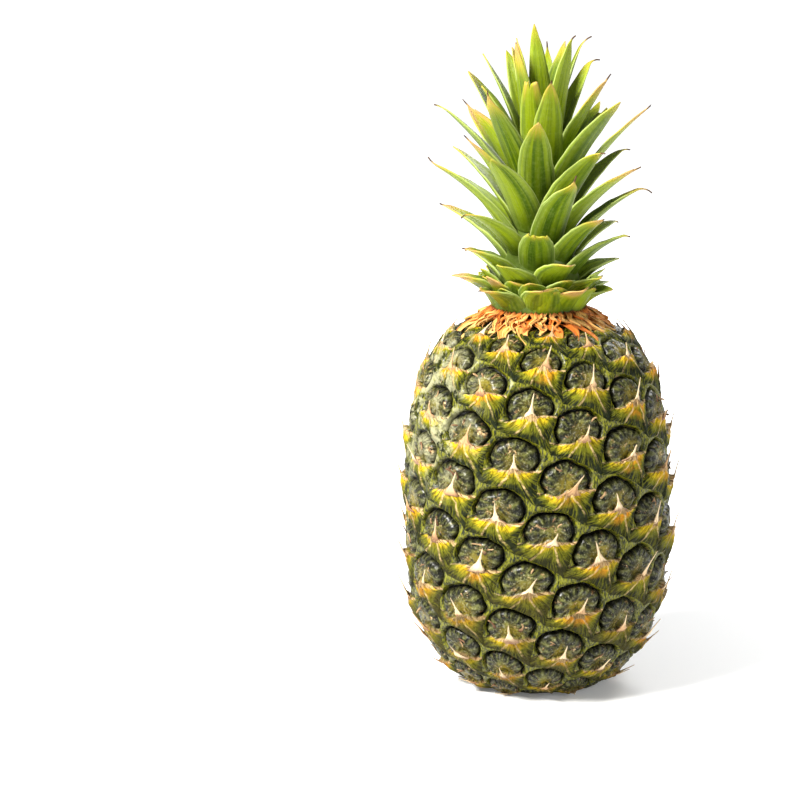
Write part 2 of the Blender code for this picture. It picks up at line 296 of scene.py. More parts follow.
class SharedPatterns:
    """The node groups that more than one material uses. Each is built once."""

    def __init__(self) -> None:
        """Builds the groups."""
        self.mottle = self.make_mottle()
        self.streaks = self.make_streaks()

    @staticmethod
    def start(name: str, inputs: dict[str, str], outputs: list[str]) -> tuple[Graph, dict, bpy.types.Node]:
        """Opens a group with these sockets.

        Args:
            name: The group's name.
            inputs: Each input's name and whether it is a Vector or a Float.
            outputs: The names of its outputs, all Float.

        Returns:
            The group's graph, its inputs by name, and its output node.
        """
        tree = bpy.data.node_groups.new(name, "ShaderNodeTree")
        for key, kind in inputs.items():
            tree.interface.new_socket(key, in_out="INPUT", socket_type="NodeSocket" + kind)
        for key in outputs:
            tree.interface.new_socket(key, in_out="OUTPUT", socket_type="NodeSocketFloat")
        graph = Graph(tree)
        sockets = tree.nodes.new("NodeGroupInput").outputs
        given = {key: Signal(graph, sockets[key]) for key in inputs}
        return graph, given, tree.nodes.new("NodeGroupOutput")

    def make_mottle(self) -> bpy.types.NodeTree:
        """Blotches at one scale, broken up by finer ones."""
        sockets = {"Place": "Vector", "Scale": "Float", "Cover": "Float"}
        graph, given, out = self.start("Mottle", sockets, ["Mask", "Fine"])
        large = graph.noise(given["Place"], given["Scale"], 4.0, 0.62)
        fine = graph.noise(given["Place"], given["Scale"] * 5.3, 2.0)
        edge = (1.0 - given["Cover"]) * 0.5 + 0.25
        mask = graph.math("DIVIDE", large + (fine - 0.5) * 0.28 - edge, 0.10, clamp=True)
        graph.fill(out, {"Mask": mask, "Fine": fine})
        return graph.tree

    def make_streaks(self) -> bpy.types.NodeTree:
        """Fine lines that run along a leaf, bract or fibre."""
        sockets = {"Across": "Float", "Along": "Float", "Count": "Float", "Seed": "Float"}
        graph, given, out = self.start("Streaks", sockets, ["Lines", "Broad"])
        across = given["Across"] * given["Count"]
        place = graph.vector(across, given["Along"] * 1.6, given["Seed"] * 37.0)
        graph.fill(out, {"Lines": graph.noise(place, 1.0, 2.0, 0.6), "Broad": graph.noise(place, 0.22, 2.0)})
        return graph.tree


def new_material(name: str) -> tuple[bpy.types.Material, Graph, bpy.types.Node]:
    """A material with its graph and its Principled shader."""
    material = bpy.data.materials.new(name)
    material.use_nodes = True
    return material, Graph(material.node_tree), material.node_tree.nodes["Principled BSDF"]


@dataclass(frozen=True)
class EyeMaps:
    """What the rind's material knows of a point: the maps that FruitSkin stores, and what follows.

    x and y are the place in its eye in centimetres, and middle is its distance from the point that
    the bract ends in. ring is 0 there and 1 at the edge of the disc, and bract is 1 on the bract.
    first and second are two draws from 0 to 1 for each eye, and drawn is the place in the eye with a
    third value that differs from eye to eye. fine and mask are a mottle over the whole rind.
    """

    x: Signal
    y: Signal
    ring: Signal
    bract: Signal
    first: Signal
    second: Signal
    place: Signal
    drawn: Signal
    middle: Signal
    fine: Signal
    mask: Signal

    @classmethod
    def read(cls, graph: Graph, patterns: SharedPatterns) -> EyeMaps:
        """Reads the maps in this graph."""
        x, y = graph.uv("eye_place")
        ring, bract = graph.uv("eye_ring")
        first, second = graph.uv("eye_draw")
        place = graph.place()
        drawn = graph.vector(x, y, first * 19.0)
        mottle = graph.group(patterns.mottle, {"Place": place, "Scale": 210.0, "Cover": 0.5})
        middle = graph.length(graph.vector(x, y))
        return cls(x, y, ring, bract, first, second, place, drawn, middle, mottle["Fine"], mottle["Mask"])


@dataclass(frozen=True)
class RindFinish:
    """Dark pleated sepals among yellow-green bracts, with pale dry margins. Painted shade darkens the
    grooves, the pleat valleys and the bracts low on the fruit, and a grey wash of bloom and painted glare
    lightens the upper left of the front.
    """

    # Near-black painted shade for the grooves round the discs and the valleys between the pleats.
    groove: Colour = (0.004, 0.004, 0.002)
    sepal_dark: Colour = (0.009, 0.012, 0.005)
    sepal_light: Colour = (0.122, 0.126, 0.030)
    sepal_heart: Colour = (0.230, 0.180, 0.014)
    # Pale grey for the real dust on the sepals, and for the painted glare on the upper left of the front.
    dust_and_glare: Colour = (0.370, 0.360, 0.210)
    bract_bright: Colour = (0.640, 0.450, 0.008)
    bract_mid: Colour = (0.165, 0.165, 0.005)
    bract_dark: Colour = (0.007, 0.011, 0.0015)
    # The dark olive brown of the painted shade low on the fruit.
    bract_low: Colour = (0.050, 0.040, 0.006)
    ripe: Colour = (0.780, 0.260, 0.010)
    paper: Colour = (0.660, 0.460, 0.215)
    scar: Colour = (0.200, 0.090, 0.030)
    sepal_middle: Pair = (-0.10, 0.50)
    pleats: float = 13.0

    def material(self, patterns: SharedPatterns) -> bpy.types.Material:
        """The rind's material."""
        made, graph, shader = new_material("rind")
        eye = EyeMaps.read(graph, patterns)
        sepal, pleated = self.sepals(graph, patterns, eye)
        bract, fibres = self.bracts(graph, patterns, eye)
        # Painted shade: the bracts are darkened in patches towards the bottom of the fruit.
        low_down = graph.split(eye.place)[2].ramp(0.100, 0.030, 0.0, 0.65)
        low_shade = graph.noise(eye.place, 70.0).ramp(0.36, 0.62, 0.35, 1.0) * low_down
        bract = graph.mix(low_shade, bract, self.bract_low)
        stretched = graph.add("VectorMath", {"operation": "MULTIPLY"}, {0: eye.place, 1: (1.0, 1.0, 0.3)})
        fibrous = graph.noise(stretched, 1400.0, 2.0).ramp(0.35, 0.65)
        skirt = graph.mix(fibrous, self.bract_dark, self.bract_mid)
        sepal = graph.mix(eye.ring.ramp(1.1, 1.6), sepal, skirt)
        # Painted shade: the groove round each disc is darkened to near black.
        groove = abs(eye.ring - 1.03).ramp(0.22, 0.03) * eye.bract.ramp(0.6, 0.2)
        colour = graph.mix(eye.bract.ramp(0.2, 0.8), sepal, bract)
        colour = graph.mix(groove, colour, self.groove)
        # A grey wash on the upper left of the front, where the key light falls: partly bloom and partly
        # painted glare.
        bloom_and_glare = self.bloom_and_glare(graph, patterns, eye) * (1.0 - groove)
        relief = graph.bump(eye.fine * 0.8 + fibres, 0.8, 0.0005, graph.bump(pleated, 1.0, 0.0018))
        values = {
            "Base Color": graph.mix(bloom_and_glare, colour, self.dust_and_glare),
            "Roughness": eye.fine * 0.30 + eye.bract.ramp(0.2, 0.8, 0.25, 0.45),
            "Specular IOR Level": 0.12,
            "Coat Roughness": 0.28,
            "Coat Weight": eye.fine.ramp(0.35, 0.65, 0.05, 0.45) * eye.bract.ramp(0.8, 0.2),
            "Normal": relief,
        }
        graph.fill(shader, values)
        return made

    def sepals(self, graph: Graph, patterns: SharedPatterns, eye: EyeMaps) -> tuple[Signal, Signal]:
        """The dark disc of each eye: its colour, and the height of its pleats."""
        across, up = eye.x - self.sepal_middle[0], eye.y - self.sepal_middle[1]
        turn = graph.math("ARCTAN2", up, across) * self.pleats + graph.noise(eye.drawn, 3.0) * 6.0
        outer = graph.length(graph.vector(across, up)).ramp(0.25, 0.6) * eye.ring.ramp(1.1, 0.98)
        folds = (graph.math("SINE", turn) * 0.5 + 0.5) * outer
        colour = graph.mix(eye.mask, self.sepal_dark, self.sepal_light)
        # Painted highlight on the pleat ridges, and painted shade in the valleys between them.
        colour = graph.mix(folds * 0.55, colour, self.sepal_light)
        colour = graph.mix((outer - folds) * 0.80, colour, self.groove)
        near = graph.length(graph.vector(eye.x, eye.y - 0.15)).ramp(0.85, 0.15)
        uneven = graph.noise(eye.drawn, 4.0).ramp(0.32, 0.55)
        colour = graph.mix(near * eye.second.ramp(0.0, 0.8, 0.45, 1.0) * uneven, colour, self.sepal_heart)
        colour = graph.mix(eye.fine.ramp(0.55, 0.75) * 0.45, colour, self.dust_and_glare)
        blotch = graph.group(patterns.mottle, {"Place": eye.drawn, "Scale": 2.6, "Cover": 0.28})
        dried = graph.mix(eye.fine.ramp(0.4, 0.6), self.scar, self.paper)
        return graph.mix(blotch["Mask"] * 0.8, colour, dried), folds

    def bracts(self, graph: Graph, patterns: SharedPatterns, eye: EyeMaps) -> tuple[Signal, Signal]:
        """The green bract under each eye: its colour, and the height of its fibres."""
        below = eye.y * -1.0
        angle = graph.math("ARCTAN2", eye.x, below + 0.25)
        inputs = {"Across": angle, "Along": eye.middle, "Count": 24.0, "Seed": eye.first}
        lines = graph.group(patterns.streaks, inputs)["Lines"]
        fade = below + (graph.noise(eye.drawn, 1.6) - 0.5) * 0.7 + eye.middle * 0.18
        fade = fade + eye.ring.ramp(0.66, 1.0, 0.0, 0.6)
        colour = graph.mix(fade.ramp(0.15, 0.62), self.bract_bright, self.bract_mid)
        dark = graph.mix(lines.ramp(0.52, 0.38, 0.0, 0.5), self.bract_dark, self.bract_mid)
        colour = graph.mix(fade.ramp(0.50, 1.15), colour, dark)
        colour = graph.mix(lines.ramp(0.44, 0.68, 0.0, 0.65), colour, self.bract_dark)
        ripe = eye.second.ramp(0.2, 0.9) * eye.middle.ramp(0.85, 0.15)
        colour = graph.mix(ripe * graph.noise(eye.drawn, 2.6).ramp(0.38, 0.56), colour, self.ripe)
        keel = graph.math("MAXIMUM", *(self.line(eye, turn) for turn in KEEL_ANGLES))
        worn = graph.noise(eye.drawn, 7.0).ramp(0.35, 0.6, 0.15, 0.9)
        colour = graph.mix(keel * eye.middle.ramp(1.35, 0.65) * worn, colour, self.paper)
        torn = (graph.noise(eye.drawn, 5.0, 4.0, 0.7) - 0.5) * 0.50
        margin, patch = (below + torn).ramp(0.12, 0.06), (eye.middle + torn).ramp(0.34, 0.22)
        paper = graph.mix(lines.ramp(0.40, 0.62), self.paper, self.scar)
        return graph.mix(graph.math("MAXIMUM", margin, patch), colour, paper), lines

    @staticmethod
    def bloom_and_glare(graph: Graph, patterns: SharedPatterns, eye: EyeMaps) -> Signal:
        """The share of a grey wash at the upper left of the front, where the key light falls: partly bloom,
        partly painted glare.
        """
        x, y, z = graph.split(eye.place)
        side = x.ramp(-0.018, -0.045) * y.ramp(0.02, -0.01) * z.ramp(0.085, 0.125)
        cover = graph.group(patterns.mottle, {"Place": eye.place, "Scale": 130.0, "Cover": 0.55})
        return side * cover["Mask"] * 0.75

    @staticmethod
    def line(eye: EyeMaps, angle: float) -> Signal:
        """A thin line from the middle of the eye, at this angle in radians."""
        across = eye.x * -math.sin(angle) + eye.y * math.cos(angle)
        along = eye.x * math.cos(angle) + eye.y * math.sin(angle)
        return abs(across).ramp(0.07, 0.02) * along.ramp(0.0, 0.2)


@dataclass(frozen=True)
class PaperFinish:
    """Dry, fibrous bract tissue: pale, or warm, with brown edges, and roots darkened towards brown as painted
    shade.
    """

    name: str
    pale: Colour
    warm: Colour
    brown: Colour
    warmth: Pair
    count: float
    root_shade_reach: float = 0.3

    def material(self, patterns: SharedPatterns) -> bpy.types.Material:
        """Its material, which reads the maps that a blade stores."""
        made, graph, shader = new_material(self.name)
        side, along = graph.uv("blade_place")
        first, second = graph.uv("blade_draw")
        inputs = {"Across": side, "Along": along * 2.0, "Count": self.count, "Seed": first}
        lines = graph.group(patterns.streaks, inputs)["Lines"]
        colour = graph.mix((along + (first - 0.5) * 1.3).ramp(*self.warmth), self.warm, self.pale)
        # Painted shade: the root of each strip is darkened towards brown, where it tucks in.
        root = (along + (second - 0.5) * 0.3).ramp(self.root_shade_reach, 0.0, 0.0, 0.85)
        edge = abs(side).ramp(0.72, 1.0, 0.0, 0.6) * second
        for share in (root, lines.ramp(0.48, 0.72, 0.0, 0.75), edge):
            colour = graph.mix(share, colour, self.brown)
        values = {"Base Color": colour, "Roughness": 0.7, "Specular IOR Level": 0.3}
        graph.fill(shader, values | {"Normal": graph.bump(lines, 0.9, 0.0004)})
        return made


@dataclass(frozen=True)
class LeafFinish:
    """A waxy leaf face with fine lines along it, a pale bloom, a painted rim highlight along its edge,
    painted shade at its base, and a dry tip.
    """

    name: str
    lit: Colour
    deep: Colour
    # The colour that the base of each leaf is darkened to, as painted shade.
    root: Colour
    bloom: Colour
    bloom_cover: float
    golden: Colour = (0.40, 0.345, 0.022)
    dry: Colour = (0.46, 0.28, 0.09)
    brown: Colour = (0.075, 0.036, 0.014)

    def material(self, patterns: SharedPatterns) -> bpy.types.Material:
        """Its material, which reads the maps that CrownLeaves stores."""
        made, graph, shader = new_material(self.name)
        side, along = graph.uv("leaf_place")
        hue, dryness = graph.uv("leaf_draw")
        inputs = {"Across": side, "Along": along, "Count": 16.0, "Seed": hue}
        streaks = graph.group(patterns.streaks, inputs)
        lines, broad, edge = streaks["Lines"], streaks["Broad"], abs(side)
        mottle = graph.group(patterns.mottle, {"Place": graph.place(), "Scale": 120.0, "Cover": 0.35})
        fine = mottle["Fine"]
        colour = graph.mix((broad + hue * 0.25).ramp(0.42, 0.85), self.lit, self.deep)
        colour = graph.mix(lines.ramp(0.46, 0.66, 0.0, 0.28), colour, self.deep)
        # Painted shade: the base of each leaf is darkened towards the root colour.
        colour = graph.mix(along.ramp(0.30, 0.02), colour, self.root)
        bloom = edge.ramp(0.35, 0.95, 0.0, 0.6) + fine.ramp(0.4, 0.7, 0.0, 0.4)
        bloom = bloom * lines.ramp(0.30, 0.62)
        colour = graph.mix(bloom * self.bloom_cover, colour, self.bloom)
        # Painted highlight: a pale rim along the very edge of each leaf, in the bloom colour.
        colour = graph.mix(edge.ramp(0.93, 0.99, 0.0, 0.55), colour, self.bloom)
        reach = along + (broad - 0.5) * 0.35 + dryness * 0.22 + edge * 0.05
        colour = graph.mix(reach.ramp(0.90, 1.14), colour, self.golden)
        colour = graph.mix(reach.ramp(1.02, 1.22), colour, self.dry)
        values = {
            "Base Color": graph.mix(along.ramp(0.99, 1.03), colour, self.brown),
            "Roughness": bloom * 0.22 + 0.34,
            "Specular IOR Level": 0.18,
            "Normal": graph.bump(fine * 0.3 + lines, 0.7, 0.0005),
        }
        graph.fill(shader, values)
        return made


@dataclass(frozen=True)
class StalkFinish:
    """Dry fibres, cut across."""

    pale: Colour = (0.50, 0.37, 0.18)
    dark: Colour = (0.16, 0.09, 0.035)

    def material(self, patterns: SharedPatterns) -> bpy.types.Material:
        """The cut stalk's material."""
        made, graph, shader = new_material("cut_fibre")
        fibres = graph.group(patterns.mottle, {"Place": graph.place(), "Scale": 900.0, "Cover": 0.5})
        stain = graph.group(patterns.mottle, {"Place": graph.place(), "Scale": 160.0, "Cover": 0.3})
        colour = graph.mix(fibres["Mask"] * 0.6, self.pale, self.dark)
        colour = graph.mix(stain["Mask"] * 0.5, colour, self.dark)
        normal = graph.bump(fibres["Fine"], 0.8, 0.0006)
        graph.fill(shader, {"Base Color": colour, "Roughness": 0.85, "Normal": normal})
        return made


@dataclass
class FruitShape:
    """The fruit's outline and the pattern of its eyes, as in the part's source.

    The pattern is flat: across is the way round at the widest height, and up is the way along the
    outline, stretched where the fruit is narrower.
    """

    radius: float = 0.0577
    widest_height: float = 0.0740
    lower_reach: float = 0.0780
    lower_power: float = 2.6
    upper_reach: float = 0.0940
    upper_power: float = 3.2
    top: float = 0.1665
    level_turn: float = 52.3
    level_rise: float = 0.00321
    front_azimuth: float = 19.8
    front_height: float = 0.1225
    shrink: float = 0.6
    sway: float = -6.0
    sway_heights: Pair = (0.040, 0.100)
    relief_shrink: float = 0.7
    top_bulge: float = 0.0022
    side_bulge: float = 0.0016
    low_fade: Pair = (0.3, 3.5)
    high_fade: Pair = (2.0, 7.5)
    samples: int = 1500

    def __post_init__(self) -> None:
        """Reads the outline into tables of distance, radius, height and outward normal."""
        low, high = self.lower_power, self.upper_power
        start = math.asin((self.widest_height / self.lower_reach) ** (low / 2))
        end = math.asin(((self.top - self.widest_height) / self.upper_reach) ** (high / 2))
        down, up = np.linspace(start, 0, self.samples), np.linspace(0, end, self.samples)[1:]
        self.r = self.radius * np.concatenate([np.cos(down) ** (2 / low), np.cos(up) ** (2 / high)])
        below = -self.lower_reach * np.sin(down) ** (2 / low)
        above = self.upper_reach * np.sin(up) ** (2 / high)
        self.z = self.widest_height + np.concatenate([below, above])
        steps = np.hypot(np.diff(self.r), np.diff(self.z))
        middle = (self.r[1:] + self.r[:-1]) / 2
        stretched = steps * (self.radius / middle) ** self.shrink
        self.along = np.concatenate([[0.0], np.cumsum(stretched)])
        self.length = float(self.along[-1])
        self.out, self.rise = np.gradient(self.z, self.along), -np.gradient(self.r, self.along)
        self.front_along = float(np.interp(self.front_height, self.z, self.along))

    def step(self, levels: int) -> np.ndarray:
        """From an eye to the nearest one that many levels up, as (across, up)."""
        turn = (levels * self.level_turn + 90) % 180 - 90
        return np.array([self.radius * math.radians(turn), levels * self.level_rise])

    def rim(self, top_shares: np.ndarray, side_shares: np.ndarray) -> np.ndarray:
        """Points on the edge of an eye's cell, round from its right corner.

        Opposite sides have the same points, so that each cell meets its neighbours point to point.

        Args:
            top_shares: Places along the top and bottom edges, from 0 to less than 1.
            side_shares: Places along the left and right edges, downwards.

        Returns:
            One row of across and up for each point.
        """
        beside, above = self.step(3), self.step(7)
        right, top = (above - beside) / 2, (above + beside) / 2
        swell = 4 * top_shares * (1 - top_shares) * self.top_bulge / np.hypot(*beside)
        over = right + top_shares[:, None] * beside + swell[:, None] * np.array([beside[1], -beside[0]])
        swell = 4 * side_shares * (1 - side_shares) * self.side_bulge / np.hypot(*beside)
        left = top - side_shares[:, None] * above + swell[:, None] * beside
        under = np.concatenate([over[1:], [top]])[::-1] - above
        return np.concatenate([over, left, under, (np.concatenate([left[1:], [-right]]) - beside)[::-1]])

    def eyes(self) -> list[Pair]:
        """Each eye's place as (across, up), with a few past both ends of the outline."""
        first = math.floor(-self.front_along / self.level_rise) - 5
        last = math.ceil((self.length - self.front_along) / self.level_rise) + 5
        found = []
        for level in range(first, last + 1):
            for side in (0, 180):
                azimuth = (self.front_azimuth + level * self.level_turn + side) % 360
                across = self.radius * math.radians(azimuth)
                found.append((across, self.front_along + level * self.level_rise))
        return found

    def fade(self, up: Numbers) -> np.ndarray:
        """1 for full relief, and 0 at the ends of the outline."""
        low = smooth_step(*self.low_fade, up / self.level_rise)
        return low * smooth_step(*self.high_fade, (self.length - up) / self.level_rise)

    def wrap(self, across: np.ndarray, up: np.ndarray, out: np.ndarray) -> np.ndarray:
        """Points of the flat pattern, this far out of it, moved to their place on the fruit."""
        radius = np.interp(up, self.along, self.r)
        height = np.interp(up, self.along, self.z)
        normal = np.stack([np.interp(up, self.along, self.out), np.interp(up, self.along, self.rise)])
        normal /= np.hypot(*normal)
        lift = out * (radius / self.radius) ** self.relief_shrink
        swayed = self.sway * (1 - smooth_step(*self.sway_heights, height))
        azimuth = np.degrees(across / self.radius) + swayed
        return self.around(azimuth, radius + lift * normal[0], height + lift * normal[1])

    @staticmethod
    def around(azimuth: np.ndarray, radius: np.ndarray, height: np.ndarray) -> np.ndarray:
        """Points at these azimuths in degrees, distances from the axis and heights."""
        turn = np.radians(azimuth)
        return np.stack([radius * np.sin(turn), -radius * np.cos(turn), height + 0 * turn], axis=-1)

    def shoulder_height(self, radius: np.ndarray) -> np.ndarray:
        """The height of the outline's upper half where it has this radius."""
        upper = self.z > self.widest_height
        return np.interp(-radius, -self.r[upper], self.z[upper])


@dataclass(frozen=True)
class EyePattern:
    """One eye's flat pattern of spokes and rings, with a value for each vertex.

    reach is how far it is from the middle, disc and rim are how far the edge of the sepal disc and
    the edge of the cell are on its spoke, and ring is over 1 outside the disc.
    """

    obj: bpy.types.Object
    x: np.ndarray
    y: np.ndarray
    reach: np.ndarray
    disc: np.ndarray
    rim: np.ndarray
    ring: np.ndarray
    bract: np.ndarray


@dataclass
class FruitSkin:
    """The rind: one eye is modelled flat, copied for each place in the pattern and wrapped round."""

    shape: FruitShape
    edge_points: int = 14
    side_shares: tuple[float, ...] = (
        0, 0.085, 0.17, 0.235, 0.262, 0.35, 0.45, 0.54, 0.63, 0.705, 0.735, 0.82, 0.91,
    )
    right_margin: float = 3.8
    left_margin: float = 180.4
    disc_rings: tuple[float, ...] = (0.0, 0.14, 0.28, 0.42, 0.56, 0.70, 0.82, 0.91, 0.97, 1.0)
    skirt_rings: tuple[float, ...] = (0.14, 0.4, 0.7, 1.0)
    bract_rings: tuple[float, ...] = (
        0, 0.07, 0.15, 0.23, 0.32, 0.41, 0.5, 0.59, 0.68, 0.76, 0.84, 0.9, 0.95, 1,
    )
    disc_middle: Pair = (-0.0010, 0.0050)
    disc_size: Pair = (0.0114, 0.0081)
    narrowest_skirt: float = 0.0011
    groove: float = 0.0027
    border: float = 0.0014
    dome: float = 0.0023
    dome_edge: float = 0.0011
    dish: float = 0.0012
    dish_radius: float = 0.0042
    skirt_edge: float = 0.0007
    crest: float = 0.0042
    crest_slope: float = 0.05
    roof_power: float = 0.7
    keel: float = 0.0006
    keel_width: float = 0.0009
    keel_start: Pair = (0.001, 0.004)
    lip: float = 0.0004
    lip_depth: float = 0.0008
    peak: float = 0.0017
    peak_width: float = 0.0028
    margin_wave: Pair = (0.0005, 0.0021)
    heights: Pair = (0.78, 1.18)
    shift: Pair = (0.0007, 0.0006)
    tilt: float = 0.16
    lumps: tuple[Pair, ...] = ((0.006, 0.00070), (0.0022, 0.00030))
    calm_border: float = 0.0015
    waver_size: float = 0.16
    waver_shift: float = 0.0011
    waver_ends: Pair = (0.004, 0.020)
    overrun: float = 0.018
    weld_distance: float = 0.00003
    foot_radius: float = 0.0200
    recess_radius: float = 0.0135
    recess_depth: float = 0.0120
    seed: int = 5

    def disc_edge(self, turn: np.ndarray, rim: np.ndarray) -> np.ndarray:
        """How far the edge of the sepal disc is from the middle of the eye, at these angles."""
        (x, y), (wide, tall) = self.disc_middle, self.disc_size
        square = (np.cos(turn) / wide) ** 2 + (np.sin(turn) / tall) ** 2
        linear = -2 * (x * np.cos(turn) / wide**2 + y * np.sin(turn) / tall**2)
        constant = (x / wide) ** 2 + (y / tall) ** 2 - 1
        reach = (-linear + np.sqrt(linear**2 - 4 * square * constant)) / (2 * square)
        return np.minimum(reach, rim - self.narrowest_skirt)

    def flat_eye(self) -> EyePattern:
        """Lays out the flat eye: a grid whose columns become spokes and whose rows become rings."""
        loop = self.shape.rim(np.linspace(0, 1, self.edge_points, endpoint=False), np.array(self.side_shares))
        angles = np.unwrap(np.arctan2(loop[:, 1], loop[:, 0]))
        turned = np.degrees(angles) % 360
        with_bract = (turned <= self.right_margin) | (turned >= self.left_margin)
        spokes, rings = len(angles), len(self.bract_rings)
        eye = Mesh.grid(spokes, rings - 1)
        grid = Mesh.coordinates(eye)
        column = np.rint((grid[:, 0] + 1) / 2 * spokes).astype(int) % spokes
        row = np.rint((grid[:, 1] + 1) / 2 * (rings - 1)).astype(int)
        turn, rim, bract = angles[column], np.hypot(*loop.T)[column], with_bract[column]
        disc = self.disc_edge(turn, rim)
        sepal_ring = np.concatenate([self.disc_rings, 1 + np.array(self.skirt_rings)])[row]
        outside = np.maximum(0.0, sepal_ring - 1)
        sepal_reach = np.minimum(sepal_ring, 1.0) * disc + outside * (rim - disc)
        bract_ring = np.array(self.bract_rings)[row]
        reach = np.where(bract, bract_ring * rim, sepal_reach)
        ring = np.where(bract, bract_ring, sepal_ring)
        return EyePattern(eye, reach * np.cos(turn), reach * np.sin(turn), reach, disc, rim, ring, bract)

    def relief(self, eye: EyePattern, taller: float) -> np.ndarray:
        """How far the skin stands out of the outline, in metres at the widest height."""
        to_edge = np.maximum(0.0, eye.disc - eye.reach)
        sepals = (self.dome * taller + self.groove) * (1 - np.exp(-to_edge / self.dome_edge)) - self.groove
        sepals -= self.dish * np.exp(-((eye.reach / self.dish_radius) ** 2))
        past, width = np.maximum(0.0, eye.reach - eye.disc), eye.rim - eye.disc
        rise = (1 - np.exp(-past / self.skirt_edge)) / (1 - np.exp(-width / self.skirt_edge))
        skirt = between(-self.groove, self.border, rise)
        top = self.crest * taller - self.crest_slope * np.abs(eye.x)
        for angle in KEEL_ANGLES:
            aside = np.abs(-eye.x * math.sin(angle) + eye.y * math.cos(angle))
            ridge = self.keel * np.exp(-((aside / self.keel_width) ** 2))
            top = top + ridge * smooth_step(*self.keel_start, eye.reach)
        roof = (1 - np.minimum(1.0, eye.reach / eye.rim)) ** self.roof_power
        lip = self.lip * np.exp(-np.maximum(0.0, -eye.y) / self.lip_depth) * roof
        bract = between(self.border, top, roof) + lip
        return np.where(eye.bract, bract, np.where(eye.reach > eye.disc, skirt, sepals))

    def form(self, eye: EyePattern, number: int, middle: Pair, draw: random.Random) -> bpy.types.Object:
        """Makes one eye's part of the skin, still flat, with its height in z.

        Args:
            eye: The flat eye that it is copied from.
            number: Its number, which picks its noise.
            middle: Its place in the pattern, as (across, up).
            draw: The source of its small differences.

        Returns:
            The new object.
        """
        one = Mesh.copy(eye.obj)
        taller, shift_x, shift_y = draw.uniform(*self.heights), draw.uniform(-1, 1), draw.uniform(-1, 1)
        tilt = draw.uniform(-self.tilt, self.tilt)
        inner = 1 - (eye.reach / eye.rim) ** 2
        peaked = self.peak * (np.exp(-np.abs(eye.x) / self.peak_width) - 0.25)
        waved = self.margin_wave[0] * np.sin(eye.x / self.margin_wave[1] + 6 * shift_x)
        moved_x = self.shift[0] * shift_x - tilt * eye.y
        moved_y = self.shift[1] * shift_y + tilt * eye.x + peaked + waved
        across, up = middle[0] + eye.x + moved_x * inner, middle[1] + eye.y + moved_y * inner
        points = np.stack([across, up, 0 * up], axis=1)
        points += self.waver(points)
        rough = sum(fractal(points, size, number) * depth for size, depth in self.lumps)
        calm = np.minimum(1.0, (eye.rim - eye.reach) / self.calm_border)
        points[:, 2] = (self.relief(eye, taller) + rough * calm) * self.shape.fade(points[:, 1])
        Mesh.place(one, points)
        Mesh.corner_map(one, "eye_place", eye.x * 100, eye.y * 100)
        Mesh.corner_map(one, "eye_ring", eye.ring, eye.bract)
        Mesh.corner_map(one, "eye_draw", draw.random(), draw.random())
        return one

    def build(self) -> bpy.types.Object:
        """Builds the whole rind, closed at the neck and round the recess for the stalk."""
        draw = random.Random(self.seed)
        eye = self.flat_eye()
        copies = []
        for number, middle in enumerate(self.shape.eyes()):
            if -self.overrun < middle[1] < self.shape.length + self.overrun:
                copies.append(self.form(eye, number, middle, draw))
        bpy.data.objects.remove(eye.obj)
        skin = Mesh.join(copies, "rind")
        self.cut_ends(skin)
        Mesh.place(skin, self.shape.wrap(*Mesh.coordinates(skin).T))
        Mesh.weld(skin, self.weld_distance)
        self.close(skin)
        Mesh.smooth(skin)
        return skin

    def waver(self, points: np.ndarray) -> np.ndarray:
        """A small sideways shift of each point of the flat pattern, the same on both sides of a join."""
        turn = points[:, 0] / self.shape.radius
        place = np.stack([np.sin(turn), np.cos(turn), points[:, 1] / self.shape.radius], axis=1)
        from_end = np.minimum(points[:, 1], self.shape.length - points[:, 1])
        most = self.waver_shift * smooth_step(*self.waver_ends, from_end)
        moved = [fractal(place, self.waver_size, seed) * most for seed in (3.0, 8.0)]
        return np.stack([moved[0], moved[1], 0 * turn], axis=1)

    def cut_ends(self, skin: bpy.types.Object) -> None:
        """Cuts the flat pattern off square at both ends of the outline."""
        Mesh.only(skin)
        bpy.ops.object.mode_set(mode="EDIT")
        for up, away in ((0.0, -1), (self.shape.length, 1)):
            bpy.ops.mesh.select_all(action="SELECT")
            bpy.ops.mesh.bisect(
                plane_co=(0, up, 0), plane_no=(0, away, 0), clear_outer=True, use_fill=False, threshold=1e-6
            )
        bpy.ops.object.mode_set(mode="OBJECT")

    def close(self, skin: bpy.types.Object) -> None:
        """Closes the neck, and turns the skin in under the fruit to the recess for the stalk."""
        mesh = bmesh.new()
        mesh.from_mesh(skin.data)
        open_edges = [edge for edge in mesh.edges if edge.is_boundary]
        middle = self.shape.widest_height
        loop = [edge for edge in open_edges if edge.verts[0].co.z < middle]
        neck = [edge for edge in open_edges if edge.verts[0].co.z > middle]
        bmesh.ops.holes_fill(mesh, edges=neck, sides=0)
        recess = (self.recess_radius, 0.0), (self.recess_radius, self.recess_depth)
        for radius, height in ((self.foot_radius, 0.0), *recess):
            made = bmesh.ops.extrude_edge_only(mesh, edges=loop)["geom"]
            for vertex in (item for item in made if isinstance(item, bmesh.types.BMVert)):
                flat = Vector((vertex.co.x, vertex.co.y)).normalized() * radius
                vertex.co = (flat.x, flat.y, height)
            loop = [item for item in made if isinstance(item, bmesh.types.BMEdge)]
        bmesh.ops.holes_fill(mesh, edges=loop, sides=0)
        bmesh.ops.recalc_face_normals(mesh, faces=mesh.faces)
        mesh.to_mesh(skin.data)
        mesh.free()


@dataclass(frozen=True)
class Sheet:
    """A flat grid that is bent into one blade.

    Each of its vertices has a side from -1 to 1, and a share along from 0 to 1.
    """

    obj: bpy.types.Object
    side: np.ndarray
    along: np.ndarray


